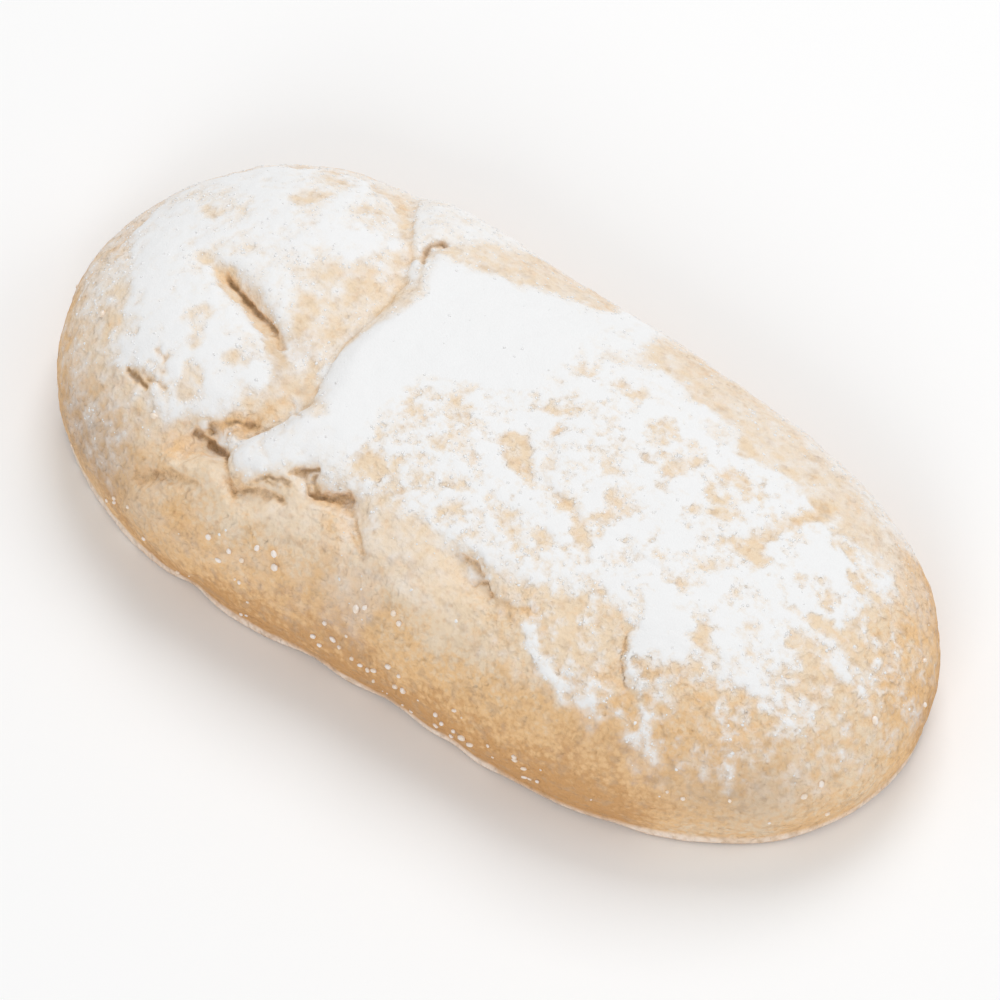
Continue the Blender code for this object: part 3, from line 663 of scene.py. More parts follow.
# Streaks and bits of sugar beside the main patches.
STREAKS = marks(
    MarkKind.DUSTED,
    (1.30, ((17.8, -17), (18.6, -18.2), (19.8, -19), (21.6, -19.6), (23.3, -20), (24.8, -20.2)), 0.42),
    (0.95, ((25, -20), (26.5, -19.8), (28.2, -20.2), (29.2, -20.6)), 0.45),
    (0.85, ((24.6, -18.8), (27.4, -18.8)), 0.6),
    (0.70, ((20, -15.4), (21, -16.2)), 0.5),
    (0.70, ((22.6, -14), (24, -14.4)), 0.5),
    (1.20, ((28.8, -12.8), (29.2, -14.2), (30.4, -15.3), (31.8, -15.5)), 0.5),
    (1.00, ((33.2, -14.4), (33.8, -15)), 0.6),
    (1.05, ((32.6, -16.9), (33.8, -18), (35, -18.9), (35.8, -19.6)), 0.38),
    (0.80, ((35.2, -10.8), (36.4, -11)), 0.6),
    (0.78, ((31, -18.6), (32.6, -19.2), (34.4, -19.6)), 0.8),
    (0.85, ((27.6, -19.6), (29.4, -18.8)), 0.7),
    (0.60, ((40.2, -10.4), (41.4, -10.8)), 0.6),
    (0.75, ((39.4, -12.4), (40.4, -13.8)), 0.5),
    (0.70, ((41, -17),), 0.6),
    (0.70, ((43, -16),), 0.6),
    (0.80, ((43.4, -9.2), (45.6, -9)), 0.6),
    (1.05, ((25, 8.4),), 0.7),
    (0.95, ((45.2, -0.2), (46.1, -0.3), (47.4, -0.8)), 0.8),
    (0.80, ((47.6, 3.4), (49, 2.6), (49.8, 1.4)), 0.6),
    (0.75, ((47.8, -6.8), (48.6, -7.4)), 0.5),
    (0.90, ((43.2, 12.3), (44, 11.4)), 0.7),
    (0.75, ((46.4, -7.4), (46.9, -6.6)), 0.6),
    (0.80, ((-40.9, -13.4), (-39.4, -15)), 0.6),
    (0.70, ((-47.8, -7.4),), 0.6),
    (0.90, ((-20.2, -3.8), (-19.8, -4.6)), 0.4),
    (1.00, ((-19, -9.9), (-17.8, -10.5), (-16.2, -11.2), (-14.8, -11.8)), 0.35),
    (1.05, ((-25.2, -16.9), (-23.8, -16.8), (-22.4, -16.7), (-21, -16.8)), 0.30),
    (0.95, ((-18.8, 12.8), (-17.4, 10.9), (-15.8, 8.8)), 0.5),
    (0.85, ((-19.4, 12), (-18.8, 10.8), (-17.8, 9.4)), 0.7),
    (0.75, ((-19.3, 3.2), (-19.6, 1), (-19.4, -1.6)), 0.6),
    (0.80, ((-3.2, -16.4), (-2.2, -17.4)), 0.6),
    (0.85, ((9.6, -15.6), (11, -15.4)), 0.5),
)

MARKS: tuple[Mark, ...] = OPEN_CRUST + PATCHES + THINNER_PARTS + EVENNESS + BARE_SPOTS + STREAKS


class Cover(NamedTuple):
    """The powdered sugar at each point: how much there is (1 hides the crust) and how uneven it is."""

    amount: np.ndarray
    uneven: np.ndarray


@dataclass(frozen=True)
class Dusting:
    """Where the powdered sugar lies and how thick it is. Spans are where a smooth change starts and ends."""

    warp: float = 0.7
    warp_grains: tuple[Grain, ...] = (Grain(2.2, 3, 5.2), Grain(2.2, 3, 9.7))
    patch_edge: float = 1.3
    bare_edge: Span = (-0.9, 0.4)
    veil_edge: float = 1.6
    open_amount: float = 0.34
    open_heights: Span = (4.0, 16.0)
    open_uneven: float = 0.6
    least: float = 0.14
    most: float = 1.2
    ragged: float = 0.34
    ragged_grain: Grain = Grain(2.4, 2, 11.3)
    fine_ragged: float = 0.36
    fine_grain: Grain = Grain(1.2, 2, 47.9)
    wall_heights: Span = (1.0, 6.0)
    wall_slopes: Span = (-0.05, 0.25)
    thickness: float = 0.16

    def cover(self, points: np.ndarray, facing_up: np.ndarray) -> Cover:
        """Works out the sugar at each point of the crust.

        Args:
            points: the surface points in millimetres.
            facing_up: the upward part of the normal at each point.

        Returns:
            The sugar at each point.
        """
        bend = np.column_stack([grain.at(points) for grain in self.warp_grains])
        plan = points[:, :2] + self.warp * bend
        amount = self.open_amount * smoothstep(*self.open_heights, points[:, 2])
        uneven = np.full(len(points), self.open_uneven)
        for mark in MARKS:
            reach = mark.reach(plan)
            if mark.kind is MarkKind.DUSTED:
                share = smoothstep(-self.patch_edge, self.patch_edge, reach)
                amount = np.maximum(amount, mark.level * share)
            elif mark.kind is MarkKind.BARE:
                thinned = amount - mark.level * smoothstep(*self.bare_edge, reach)
                amount = np.maximum(thinned, np.minimum(amount, self.least))
            else:
                share = smoothstep(-self.veil_edge, self.veil_edge, reach)
                layer = amount if mark.kind is MarkKind.VEIL else uneven
                layer *= 1.0 - share
                layer += mark.level * share
        amount = amount + uneven * self.ragged * self.ragged_grain.at(points)
        amount += uneven * self.fine_ragged * self.fine_grain.at(points)
        wall = smoothstep(*self.wall_heights, points[:, 2]) * smoothstep(*self.wall_slopes, facing_up)
        return Cover(np.clip(amount, 0.0, self.most) * wall, uneven)


class Pattern(NamedTuple):
    """A noise pattern: the size of its largest features in millimetres, and its finer layers."""

    size: float
    detail: float = 2.0
    roughness: float = 0.5


class Rise(NamedTuple):
    """A smooth rise or fall: where it starts and ends, and the results there."""

    low: float
    high: float
    start: float = 0.0
    end: float = 1.0


SHADER_INPUTS = {
    "colour": "Base Color",
    "roughness": "Roughness",
    "shine": "Specular IOR Level",
    "normal": "Normal",
}


class Graph:
    """Adds and joins the nodes of one material. Patterns read the piece's own object coordinates."""

    def __init__(self, name: str) -> None:
        """Starts a material.

        Args:
            name: the material's name.
        """
        self.material = bpy.data.materials.new(name)
        self.material.use_nodes = True
        self.tree = self.material.node_tree
        self.shader = next(node for node in self.tree.nodes if node.type == "BSDF_PRINCIPLED")
        self.place = self.tree.nodes.new("ShaderNodeTexCoord").outputs["Object"]

    def feed(self, socket: Socket, value: object) -> None:
        """Joins an output to a socket, or sets a plain value on it.

        Args:
            socket: the socket of a node.
            value: an output or a plain value.
        """
        if isinstance(value, Socket):
            self.tree.links.new(value, socket)
        else:
            socket.default_value = value

    def surface(self, **values: object) -> bpy.types.Material:
        """Sets the shader's inputs.

        Args:
            values: an output or a plain value for each input, its name in small letters.

        Returns:
            The material.
        """
        for name, value in values.items():
            title = SHADER_INPUTS[name]
            self.feed(self.shader.inputs[title], value)
        return self.material

    def noise(self, pattern: Pattern) -> Socket:
        """A noise pattern.

        Args:
            pattern: its size and its finer layers.

        Returns:
            The pattern, 0 to 1.
        """
        node = self.tree.nodes.new("ShaderNodeTexNoise")
        self.feed(node.inputs["Vector"], self.place)
        node.inputs["Scale"].default_value = 1.0 / MM / pattern.size
        node.inputs["Detail"].default_value = pattern.detail
        node.inputs["Roughness"].default_value = pattern.roughness
        return node.outputs["Fac"]

    def cells(self, size: float) -> Socket:
        """The distance to scattered points, for pores and grains.

        Args:
            size: the spacing of the points in millimetres.

        Returns:
            The distance pattern.
        """
        node = self.tree.nodes.new("ShaderNodeTexVoronoi")
        self.feed(node.inputs["Vector"], self.place)
        node.inputs["Scale"].default_value = 1.0 / MM / size
        return node.outputs["Distance"]

    def painted(self, name: str) -> Socket:
        """A value painted on the mesh.

        Args:
            name: the name of the layer.

        Returns:
            The value.
        """
        node = self.tree.nodes.new("ShaderNodeAttribute")
        node.attribute_name = name
        return node.outputs["Fac"]

    def math(self, operation: str, first: object, second: object, clamp: bool = False) -> Socket:
        """One sum.

        Args:
            operation: the name of the sum.
            first: the first value.
            second: the second value.
            clamp: keeps the result from 0 to 1.

        Returns:
            The result.
        """
        node = self.tree.nodes.new("ShaderNodeMath")
        node.operation = operation
        node.use_clamp = clamp
        self.feed(node.inputs[0], first)
        self.feed(node.inputs[1], second)
        return node.outputs[0]

    def total(self, first: object, *others: object) -> object:
        """Adds values up, one after another."""
        for other in others:
            first = self.math("ADD", first, other)
        return first

    def product(self, first: object, *others: object) -> object:
        """Multiplies values, one after another."""
        for other in others:
            first = self.math("MULTIPLY", first, other)
        return first

    def centred(self, pattern: Socket, amount: float) -> Socket:
        """A pattern from 0 to 1, shifted to spread evenly about 0 over the given amount."""
        shifted = self.math("SUBTRACT", pattern, 0.5)
        return self.math("MULTIPLY", shifted, amount)

    def spread(self, patterns: tuple[Socket, ...], amounts: tuple[float, ...]) -> list[Socket]:
        """Several patterns, each centred over its own amount."""
        return [self.centred(pattern, amount) for pattern, amount in zip(patterns, amounts)]

    def ramp(self, value: object, rise: Rise) -> Socket:
        """A smooth rise.

        Args:
            value: what is measured.
            rise: where it starts and ends, and the results there.

        Returns:
            The smooth result.
        """
        node = self.tree.nodes.new("ShaderNodeMapRange")
        node.interpolation_type = "SMOOTHSTEP"
        self.feed(node.inputs["Value"], value)
        node.inputs["From Min"].default_value = rise.low
        node.inputs["From Max"].default_value = rise.high
        node.inputs["To Min"].default_value = rise.start
        node.inputs["To Max"].default_value = rise.end
        return node.outputs["Result"]

    def blend(self, share: object, first: object, second: object) -> Socket:
        """Goes from one colour to another.

        Args:
            share: 0 gives the first colour and 1 the second.
            first: a colour or an output.
            second: a colour or an output.

        Returns:
            The colour.
        """
        node = self.tree.nodes.new("ShaderNodeMix")
        node.data_type = "RGBA"
        colours = [socket for socket in node.inputs if socket.type == "RGBA"]
        self.feed(node.inputs[0], share)
        for socket, colour in zip(colours, (first, second)):
            self.feed(socket, (*colour, 1.0) if isinstance(colour, tuple) else colour)
        return next(socket for socket in node.outputs if socket.type == "RGBA")

    def bump(self, height: object, depth: float, under: Socket | None = None) -> Socket:
        """Turns a height into a bumpy normal.

        Args:
            height: the height, 0 to 1.
            depth: how deep a height of 1 is, in millimetres.
            under: the normal that it is added to.

        Returns:
            The normal.
        """
        node = self.tree.nodes.new("ShaderNodeBump")
        node.inputs["Strength"].default_value = 1.0
        node.inputs["Distance"].default_value = depth * MM
        self.feed(node.inputs["Height"], height)
        if under is not None:
            self.feed(node.inputs["Normal"], under)
        return node.outputs["Normal"]


@dataclass(frozen=True)
class CrustFinish:
    """Baked sponge crust under powdered sugar: pale on top, golden on the wall, browner above the foot."""

    pale: Colour = (0.86, 0.69, 0.50)
    golden: Colour = (0.865, 0.56, 0.285)
    brown: Colour = (0.64, 0.35, 0.14)
    # Greyish-brown painted shade, for random small hollows and for the greyer, darker spots.
    hollow: Colour = (0.55, 0.40, 0.27)
    # The dark brown painted into the hearts of the cracks and creases as shade.
    crack: Colour = (0.40, 0.245, 0.12)
    foot: Colour = (0.95, 0.82, 0.71)
    underside: Colour = (0.55, 0.33, 0.16)
    sugar: Colour = (0.885, 0.89, 0.895)

    patches: Pattern = Pattern(2.6, 3.0, 0.6)
    dimples: Pattern = Pattern(0.75, 3.0, 0.6)
    dust: Pattern = Pattern(0.38, 2.0, 0.65)
    hollows: Pattern = Pattern(1.3)
    lumps: Pattern = Pattern(1.5)
    wrinkles: Pattern = Pattern(0.9, 3.0, 0.55)
    pore_groups: Pattern = Pattern(5.0)
    grit: Pattern = Pattern(0.22, 2.0, 0.7)
    valley_spacing: float = 0.8
    pore_spacing: float = 1.1
    # The amounts of the patches, dimples, dust and valleys in the baked colour.
    baked_amounts: tuple[float, ...] = (0.75, 0.95, 0.35, 0.20)
    # The amounts of the dimples and the dust in the sugar's specks.
    speck_amounts: tuple[float, ...] = (1.15, 0.25)
    # The amounts of the wrinkles, dimples, lumps and valleys in the relief.
    relief_amounts: tuple[float, ...] = (0.9, 0.5, 1.5, -0.14)
    broken_edge: float = 0.8
    pore_relief: float = -0.4

    valley_depth: Rise = Rise(0.20, 0.70)
    pore_depth: Rise = Rise(0.10, 0.34, 0.45, 0.0)
    to_golden: Rise = Rise(-0.05, 0.58)
    to_brown: Rise = Rise(0.50, 1.10)
    stain: Rise = Rise(0.35, 0.70, 1.0, 0.55)
    hollow_shade_share: Rise = Rise(0.50, 0.72, 0.0, 0.38)
    crack_shade_edge: Rise = Rise(0.05, 0.40, 0.0, 0.55)
    crack_shade_heart: Rise = Rise(0.15, 1.0)
    sugar_share: Rise = Rise(-0.02, 0.96, 0.0, 0.985)
    buried: Rise = Rise(0.25, 0.95, 1.0, 0.12)
    baked_rough: Rise = Rise(-0.05, 0.22, 0.55, 1.0)
    dullness: Rise = Rise(0.0, 1.0, 0.72, 0.93)

    shine: float = 0.28
    crust_bump: float = 0.36
    grit_bump: float = 0.05
    sugar_bump: float = 0.045

    def material(self) -> bpy.types.Material:
        """Makes the material: the baked colour, the sugar over it and the relief of both.

        Returns:
            The crust's material.
        """
        graph = Graph("baked_crust")
        patches = graph.noise(self.patches)
        dimples = graph.noise(self.dimples)
        dust = graph.noise(self.dust)
        # Cell valleys and pits are painted browner where the bump sinks them: partly the crust's own speckle,
        # partly painted shade.
        valleys = graph.ramp(graph.cells(self.valley_spacing), self.valley_depth)
        pores = graph.ramp(graph.cells(self.pore_spacing), self.pore_depth)

        mottle = graph.spread((patches, dimples, dust, valleys), self.baked_amounts)
        # The baked tone, whose spots also carry painted light and painted shade.
        tone_with_shade = graph.total(graph.painted("bake_and_shade"), *mottle)
        colour = graph.blend(graph.ramp(tone_with_shade, self.to_golden), self.pale, self.golden)
        colour = graph.blend(graph.ramp(tone_with_shade, self.to_brown), colour, self.brown)
        stained = graph.ramp(patches, self.stain)
        colour = graph.blend(graph.product(graph.painted("foot"), stained), colour, self.foot)
        colour = graph.blend(graph.painted("underside"), colour, self.underside)
        # Painted shade: random greyish-brown hollows, and the greyer, darker spots painted with the baking
        # spots.
        hollow = graph.ramp(graph.noise(self.hollows), self.hollow_shade_share)
        hollow = graph.math("ADD", hollow, graph.painted("dull_shade"), clamp=True)
        colour = graph.blend(hollow, colour, self.hollow)
        colour = graph.blend(graph.product(pores, graph.noise(self.pore_groups)), colour, self.brown)
        # Painted shade in the cracks and creases: golden at their edges and dark brown in their hearts.
        crease_shade = graph.painted("crease_shade")
        broken = graph.total(crease_shade, graph.centred(dust, self.broken_edge))
        colour = graph.blend(graph.ramp(crease_shade, self.crack_shade_edge), colour, self.golden)
        colour = graph.blend(graph.ramp(broken, self.crack_shade_heart), colour, self.crack)

        specks = graph.total(*graph.spread((dimples, dust), self.speck_amounts))
        specks = graph.product(specks, graph.painted("uneven"))
        sugar = graph.ramp(graph.total(graph.painted("sugar"), specks), self.sugar_share)
        colour = graph.blend(sugar, colour, self.sugar)

        patterns = (graph.noise(self.wrinkles), dimples, graph.noise(self.lumps), valleys)
        relief = graph.spread(patterns, self.relief_amounts)
        rough = graph.total(*relief, graph.product(pores, self.pore_relief))
        bare = graph.ramp(sugar, self.buried)
        rough = graph.product(rough, bare, graph.ramp(graph.painted("bake_and_shade"), self.baked_rough))
        normal = graph.bump(rough, self.crust_bump)
        normal = graph.bump(graph.noise(self.grit), self.grit_bump, normal)
        normal = graph.bump(sugar, self.sugar_bump, normal)
        roughness = graph.ramp(sugar, self.dullness)
        return graph.surface(colour=colour, normal=normal, roughness=roughness, shine=self.shine)


@dataclass(frozen=True)
class GrainFinish:
    """Two colours in soft patches, with a fine bump."""

    name: str
    colour: Colour
    shade: Colour
    patches: Pattern
    to_shade: Rise
    grit: Pattern
    bump: float
    roughness: float
    shine: float

    def material(self) -> bpy.types.Material:
        """Makes the material.

        Returns:
            The material of the grains.
        """
        graph = Graph(self.name)
        colour = graph.blend(graph.ramp(graph.noise(self.patches), self.to_shade), self.colour, self.shade)
        normal = graph.bump(graph.noise(self.grit), self.bump)
        return graph.surface(colour=colour, normal=normal, roughness=self.roughness, shine=self.shine)


# Loose powdered sugar is dull and almost white.
POWDERED_SUGAR = GrainFinish(
    name="powdered_sugar",
    colour=(0.91, 0.915, 0.92),
    shade=(0.84, 0.83, 0.82),
    patches=Pattern(0.5),
    to_shade=Rise(0.3, 0.7),
    grit=Pattern(0.12),
    bump=0.03,
    roughness=0.9,
    shine=0.3,
)

# Half melted beads are glossy and faintly pink from the crust under them.
BEAD_SUGAR = GrainFinish(
    name="sugar_bead",
    colour=(0.93, 0.86, 0.81),
    shade=(0.90, 0.76, 0.62),
    patches=Pattern(0.9, 1.0),
    to_shade=Rise(0.35, 0.65),
    grit=Pattern(0.35, 1.0),
    bump=0.04,
    roughness=0.28,
    shine=0.5,
)


@dataclass
class SpongeCrust:
    """The biscuit's own surface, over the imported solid: finer folds, pores, wrinkles and the sugar's relief.

    Lengths are in millimetres. A span is where a smooth change starts and ends, or a least and a most.
    """

    node: bpy.types.Object
    dusting: Dusting
    finish: CrustFinish
    levels: int = 2
    weld: float = 0.01
    quad_angle: float = 60.0
    bottom: float = 1.2
    bottom_ratio: float = 0.5
    finer_from: float = 0.4
    finer_reach: float = 0.8
    finer_slope: float = 0.1
    fold_ends: Span = (0.0, 0.14)
    fold_slopes: Span = (0.02, 0.2)
    fold_widths: Span = (0.4, 1.8)
    fold_shades: Span = (0.15, 1.2)
    fold_shade: float = 0.9
    fold_wobbles: tuple[Grain, ...] = (Grain(1.7, 2, 3.1), Grain(1.7, 2, 8.4))
    width_grain: Grain = Grain(1.0, 2, 51.0)
    shade_grain: Grain = Grain(1.5, 2, 71.0)
    lip_width: float = 1.3
    lip_start: float = 0.35
    swell_ends: Span = (-0.02, 0.25)
    pore_count: int = 420
    pore_depth: float = 0.22
    pore_radius: Span = (0.35, 0.75)
    pore_reach: float = 2.2
    pore_lowest: float = 2.0
    pore_steepest: float = -0.2
    wrinkle: float = 0.15
    wrinkle_grain: Grain = Grain(3.2, 3, 1.7)
    pebble: float = 0.085
    pebble_grain: Grain = Grain(1.2, 2, 21.0)
    relief_heights: Span = (0.3, 2.5)
    flatter: float = 0.4
    flatter_heights: Span = (16.5, 19.5)
    sugared_from: Span = (0.35, 0.95)
    sugar_clumps: float = 0.5
    clump_grain: Grain = Grain(1.6, 2, 33.0)
    relief_buried: float = 0.45
    pores_buried: float = 0.9
    crease_shade_buried: float = 0.35
    sugar_in_cracks: float = 0.8
    baked_heights: Span = (19.1, 2.5)
    baked_patches: float = 0.12
    patch_grain: Grain = Grain(7.0, 2, 2.2)
    baked_range: Span = (-0.1, 1.15)
    under_slopes: Span = (-0.1, -0.6)
    under_heights: Span = (1.6, 0.5)
    rim_slopes: Span = (-0.75, -0.2)
    rim_heights: Span = (1.8, 0.9)
    seed: int = 7

    def copy_solid(self) -> bpy.types.Object:
        """Copies the solid's mesh, joins its loose triangles and smooths it.

        Returns:
            The smooth copy.
        """
        crust = bpy.data.objects.new("sponge_crust", self.node.data.copy())
        bpy.context.scene.collection.objects.link(crust)
        crust.data.materials.clear()
        make_active(crust)
        angle = math.radians(self.quad_angle)
        with edit_mode():
            bpy.ops.mesh.select_all(action="SELECT")
            bpy.ops.mesh.remove_doubles(threshold=self.weld * MM)
            bpy.ops.mesh.tris_convert_to_quads(face_threshold=angle, shape_threshold=angle)
        smooth = crust.modifiers.new("smooth", "SUBSURF")
        smooth.levels = self.levels
        smooth.render_levels = self.levels
        bpy.ops.object.modifier_apply(modifier=smooth.name)
        self.pick_faces(crust, self.at_the_bottom(crust))
        with edit_mode():
            bpy.ops.mesh.decimate(ratio=self.bottom_ratio)
        self.pick_faces(crust, self.beside_folds(crust))
        with edit_mode():
            bpy.ops.mesh.subdivide(number_cuts=1)
        bpy.ops.object.shade_smooth()
        return crust

    def pick_faces(self, crust: bpy.types.Object, picked: np.ndarray) -> None:
        """Selects just these faces of the crust for the next step of the modelling.

        Args:
            crust: the crust piece.
            picked: True for each face that is selected.
        """
        with edit_mode():
            bpy.ops.mesh.select_mode(type="FACE")
            bpy.ops.mesh.select_all(action="DESELECT")
        crust.data.polygons.foreach_set("select", picked)

    def at_the_bottom(self, crust: bpy.types.Object) -> np.ndarray:
        """Tells which faces belong to the underside and the lowest part of the foot."""
        return np.array([face.center.z < self.bottom * MM for face in crust.data.polygons])

    def beside_folds(self, crust: bpy.types.Object) -> np.ndarray:
        """Tells which faces lie so close to a dark fold that they need a finer mesh.

        Args:
            crust: the crust piece.

        Returns:
            True for each such face.
        """
        centres = np.array([face.center[:] for face in crust.data.polygons]) / MM
        up = np.array([face.normal.z for face in crust.data.polygons])
        close = np.zeros(len(centres), bool)
        for fold in FOLDS:
            if fold.darkness > self.finer_from:
                close |= nearest_on_path(centres[:, :2], fold.path).distance < self.finer_reach
        return close & (up > self.finer_slope)

    def cut_folds(self, points: np.ndarray, facing_up: np.ndarray) -> Arrays:
        """Sharpens the folds and cracks, and works out the shade painted into them.

        Args:
            points: the surface points in millimetres.
            facing_up: the upward part of the normal at each point.

        Returns:
            The outward shift in millimetres and the painted shade at each point.
        """
        shift = np.zeros(len(points))
        dark = np.zeros(len(points))
        upper = smoothstep(*self.fold_slopes, facing_up)
        plan = points[:, :2]
        wobble = np.column_stack([grain.at(points) for grain in self.fold_wobbles])
        uneven_width = self.width_grain.at(points)
        uneven_shade = self.shade_grain.at(points)
        for fold in FOLDS:
            near = nearest_on_path(plan + fold.raggedness * wobble, fold.path)
            ends = fade_ends(self.fold_ends, near.share)
            width = fold.half_width * np.clip(1.0 + 2.0 * fold.raggedness * uneven_width, *self.fold_widths)
            cut = dome(near.distance, width)
            shift -= fold.depth * cut * ends * upper
            lip = near.side * np.exp(-near.distance / self.lip_width)
            lip *= smoothstep(0.0, self.lip_start, near.distance)
            shift += fold.step * lip * ends * upper
            patchy = self.fold_shade + 2.0 * fold.raggedness * uneven_shade
            shade = cut * np.clip(patchy, *self.fold_shades)
            dark = np.maximum(dark, fold.darkness * shade * ends * upper)
        return shift, dark

    def swell(self, points: np.ndarray) -> np.ndarray:
        """Lifts the soft ridges and sinks the hollows.

        Args:
            points: the surface points in millimetres.

        Returns:
            The outward shift in millimetres at each point.
        """
        lift = np.zeros(len(points))
        for swell in SWELLS:
            near = nearest_on_path(points, swell.path)
            ends = fade_ends(self.swell_ends, near.share)
            lift += swell.height * dome(near.distance, swell.half_width) * ends
        return lift

    def pores(self, points: np.ndarray, facing_up: np.ndarray) -> np.ndarray:
        """Small pits left by bubbles in the batter.

        Args:
            points: the surface points in millimetres.
            facing_up: the upward part of the normal at each point.

        Returns:
            How deep each point lies in a pit, in millimetres.
        """
        chance = np.random.default_rng(self.seed)
        places = np.flatnonzero((facing_up > self.pore_steepest) & (points[:, 2] > self.pore_lowest))
        largest = self.pore_radius[1]
        depth = np.zeros(len(points))
        for place in chance.choice(places, self.pore_count, replace=False):
            radius = chance.uniform(*self.pore_radius)
            near = np.flatnonzero(np.abs(points - points[place]).max(axis=1) < self.pore_reach * radius)
            distance = np.linalg.norm(points[near] - points[place], axis=1)
            pit = self.pore_depth * radius / largest * dome(distance, radius)
            depth[near] = np.maximum(depth[near], pit)
        return depth

    def relief(self, points: np.ndarray, sugared: np.ndarray) -> np.ndarray:
        """Wrinkles and pebbles, fainter under sugar, on the flat top and towards the foot.

        Args:
            points: the surface points in millimetres.
            sugared: how far the sugar covers each point, 0 to 1.

        Returns:
            The outward shift in millimetres at each point.
        """
        height = points[:, 2]
        relief = self.wrinkle * self.wrinkle_grain.at(points)
        relief += self.pebble * self.pebble_grain.at(points)
        on_top = 1.0 - self.flatter * smoothstep(*self.flatter_heights, height)
        above_foot = smoothstep(*self.relief_heights, height)
        return relief * (above_foot * (1.0 - self.relief_buried * sugared) * on_top)

    def paint(self, crust: bpy.types.Object, name: str, values: np.ndarray) -> None:
        """Stores one value for each point of the mesh."""
        layer = crust.data.attributes.new(name, "FLOAT", "POINT")
        layer.data.foreach_set("value", values.astype(np.float32))

    def paint_baking_and_shade(self, crust: bpy.types.Object, points: np.ndarray, facing_up: np.ndarray) -> None:
        """Paints how brown the crust is with spots of painted light and shade, its pale foot and its
        underside.

        Args:
            crust: the crust piece.
            points: its points in millimetres.
            facing_up: the upward part of the solid's normal at each point.
        """
        height = points[:, 2]
        bake_and_shade = smoothstep(*self.baked_heights, height)
        bake_and_shade += self.baked_patches * self.patch_grain.at(points)
        # Spots of painted light and shade over the crust's own baking; some also paint greyer, darker shade.
        dull_shade = np.zeros(len(points))
        for spot in BAKE_AND_SHADE_SPOTS:
            share = dome(np.linalg.norm(points - spot.place, axis=1), spot.radius)
            bake_and_shade += spot.amount * share
            dull_shade += spot.dull_shade * share
        below = smoothstep(*self.under_slopes, facing_up) * smoothstep(*self.under_heights, height)
        rim = smoothstep(*self.rim_heights, height) * smoothstep(*self.rim_slopes, facing_up)
        self.paint(crust, "bake_and_shade", np.clip(bake_and_shade, *self.baked_range))
        self.paint(crust, "dull_shade", dull_shade)
        self.paint(crust, "foot", rim)
        self.paint(crust, "underside", below * (1.0 - rim))

    def build(self) -> bpy.types.Object:
        """Makes the crust piece.

        Returns:
            The finished crust.
        """
        crust = self.copy_solid()
        mesh = crust.data
        flat = np.empty(len(mesh.vertices) * 3, np.float32)
        mesh.vertices.foreach_get("co", flat)
        points = flat.reshape(-1, 3).astype(float) / MM
        normals = np.array([vertex.normal[:] for vertex in mesh.vertices])
        facing_up = normals[:, 2]
        sugar, uneven = self.dusting.cover(points, facing_up)
        sugared = smoothstep(*self.sugared_from, sugar)
        shift, dark = self.cut_folds(points, facing_up)
        shift = shift + self.swell(points) + self.relief(points, sugared)
        shift -= self.pores(points, facing_up) * (1.0 - self.pores_buried * sugared)
        clumps = 1.0 + self.sugar_clumps * self.clump_grain.at(points)
        shift += self.dusting.thickness * sugared * clumps
        points += normals * shift[:, None]
        points[:, 2] = np.maximum(points[:, 2], 0.0)
        mesh.vertices.foreach_set("co", (points * MM).astype(np.float32).ravel())
        mesh.update()
        self.paint_baking_and_shade(crust, points, facing_up)
        # The painted shade of the folds, fainter where sugar covers them.
        self.paint(crust, "crease_shade", np.clip(dark, 0.0, 1.0) * (1.0 - self.crease_shade_buried * sugared))
        self.paint(crust, "sugar", sugar * (1.0 - self.sugar_in_cracks * dark))
        self.paint(crust, "uneven", uneven)
        mesh.materials.append(self.finish.material())
        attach(crust, BODY)
        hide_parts(NODE)
        LOG.info("sponge crust: %d faces", len(mesh.polygons))
        return crust


class Surface:
    """The finished crust, for setting small things on it."""

    def __init__(self, crust: bpy.types.Object) -> None:
        """Reads the crust.

        Args:
            crust: the finished crust piece.
        """
        mesh = crust.data
        mesh.calc_loop_triangles()
        self.points = np.array([vertex.co[:] for vertex in mesh.vertices]) / MM
        self.triangles = np.array([triangle.vertices[:] for triangle in mesh.loop_triangles])
        self.sugar = np.empty(len(mesh.vertices), np.float32)
        mesh.attributes["sugar"].data.foreach_get("value", self.sugar)
        corners = self.points[self.triangles]
        cross = np.cross(corners[:, 1] - corners[:, 0], corners[:, 2] - corners[:, 0])
        self.areas = np.linalg.norm(cross, axis=1) / 2.0
        self.normals = cross / np.maximum(2.0 * self.areas[:, None], TINY_AREA)
        self.tree = BVHTree.FromPolygons(self.points.tolist(), self.triangles.tolist())

    def settle(self, place: Place) -> Arrays:
        """Finds the nearest place on the crust, and its normal."""
        found, normal, _, _ = self.tree.find_nearest(Vector(place))
        return np.array(found), np.array(normal)

    def scatter(self, chance: np.random.Generator, weights: np.ndarray, count: int) -> Arrays:
        """Picks random places.

        Args:
            chance: the source of chance.
            weights: how likely each triangle is, by area.
            count: how many places.

        Returns:
            The places and their normals.
        """
        share = weights * self.areas
        picked = chance.choice(len(self.areas), count, p=share / share.sum())
        first, second = np.sqrt(chance.random(count)), chance.random(count)
        mix = np.column_stack([1.0 - first, first * (1.0 - second), first * second])
        places = np.einsum("ij,ijk->ik", mix, self.points[self.triangles[picked]])
        return places, self.normals[picked]


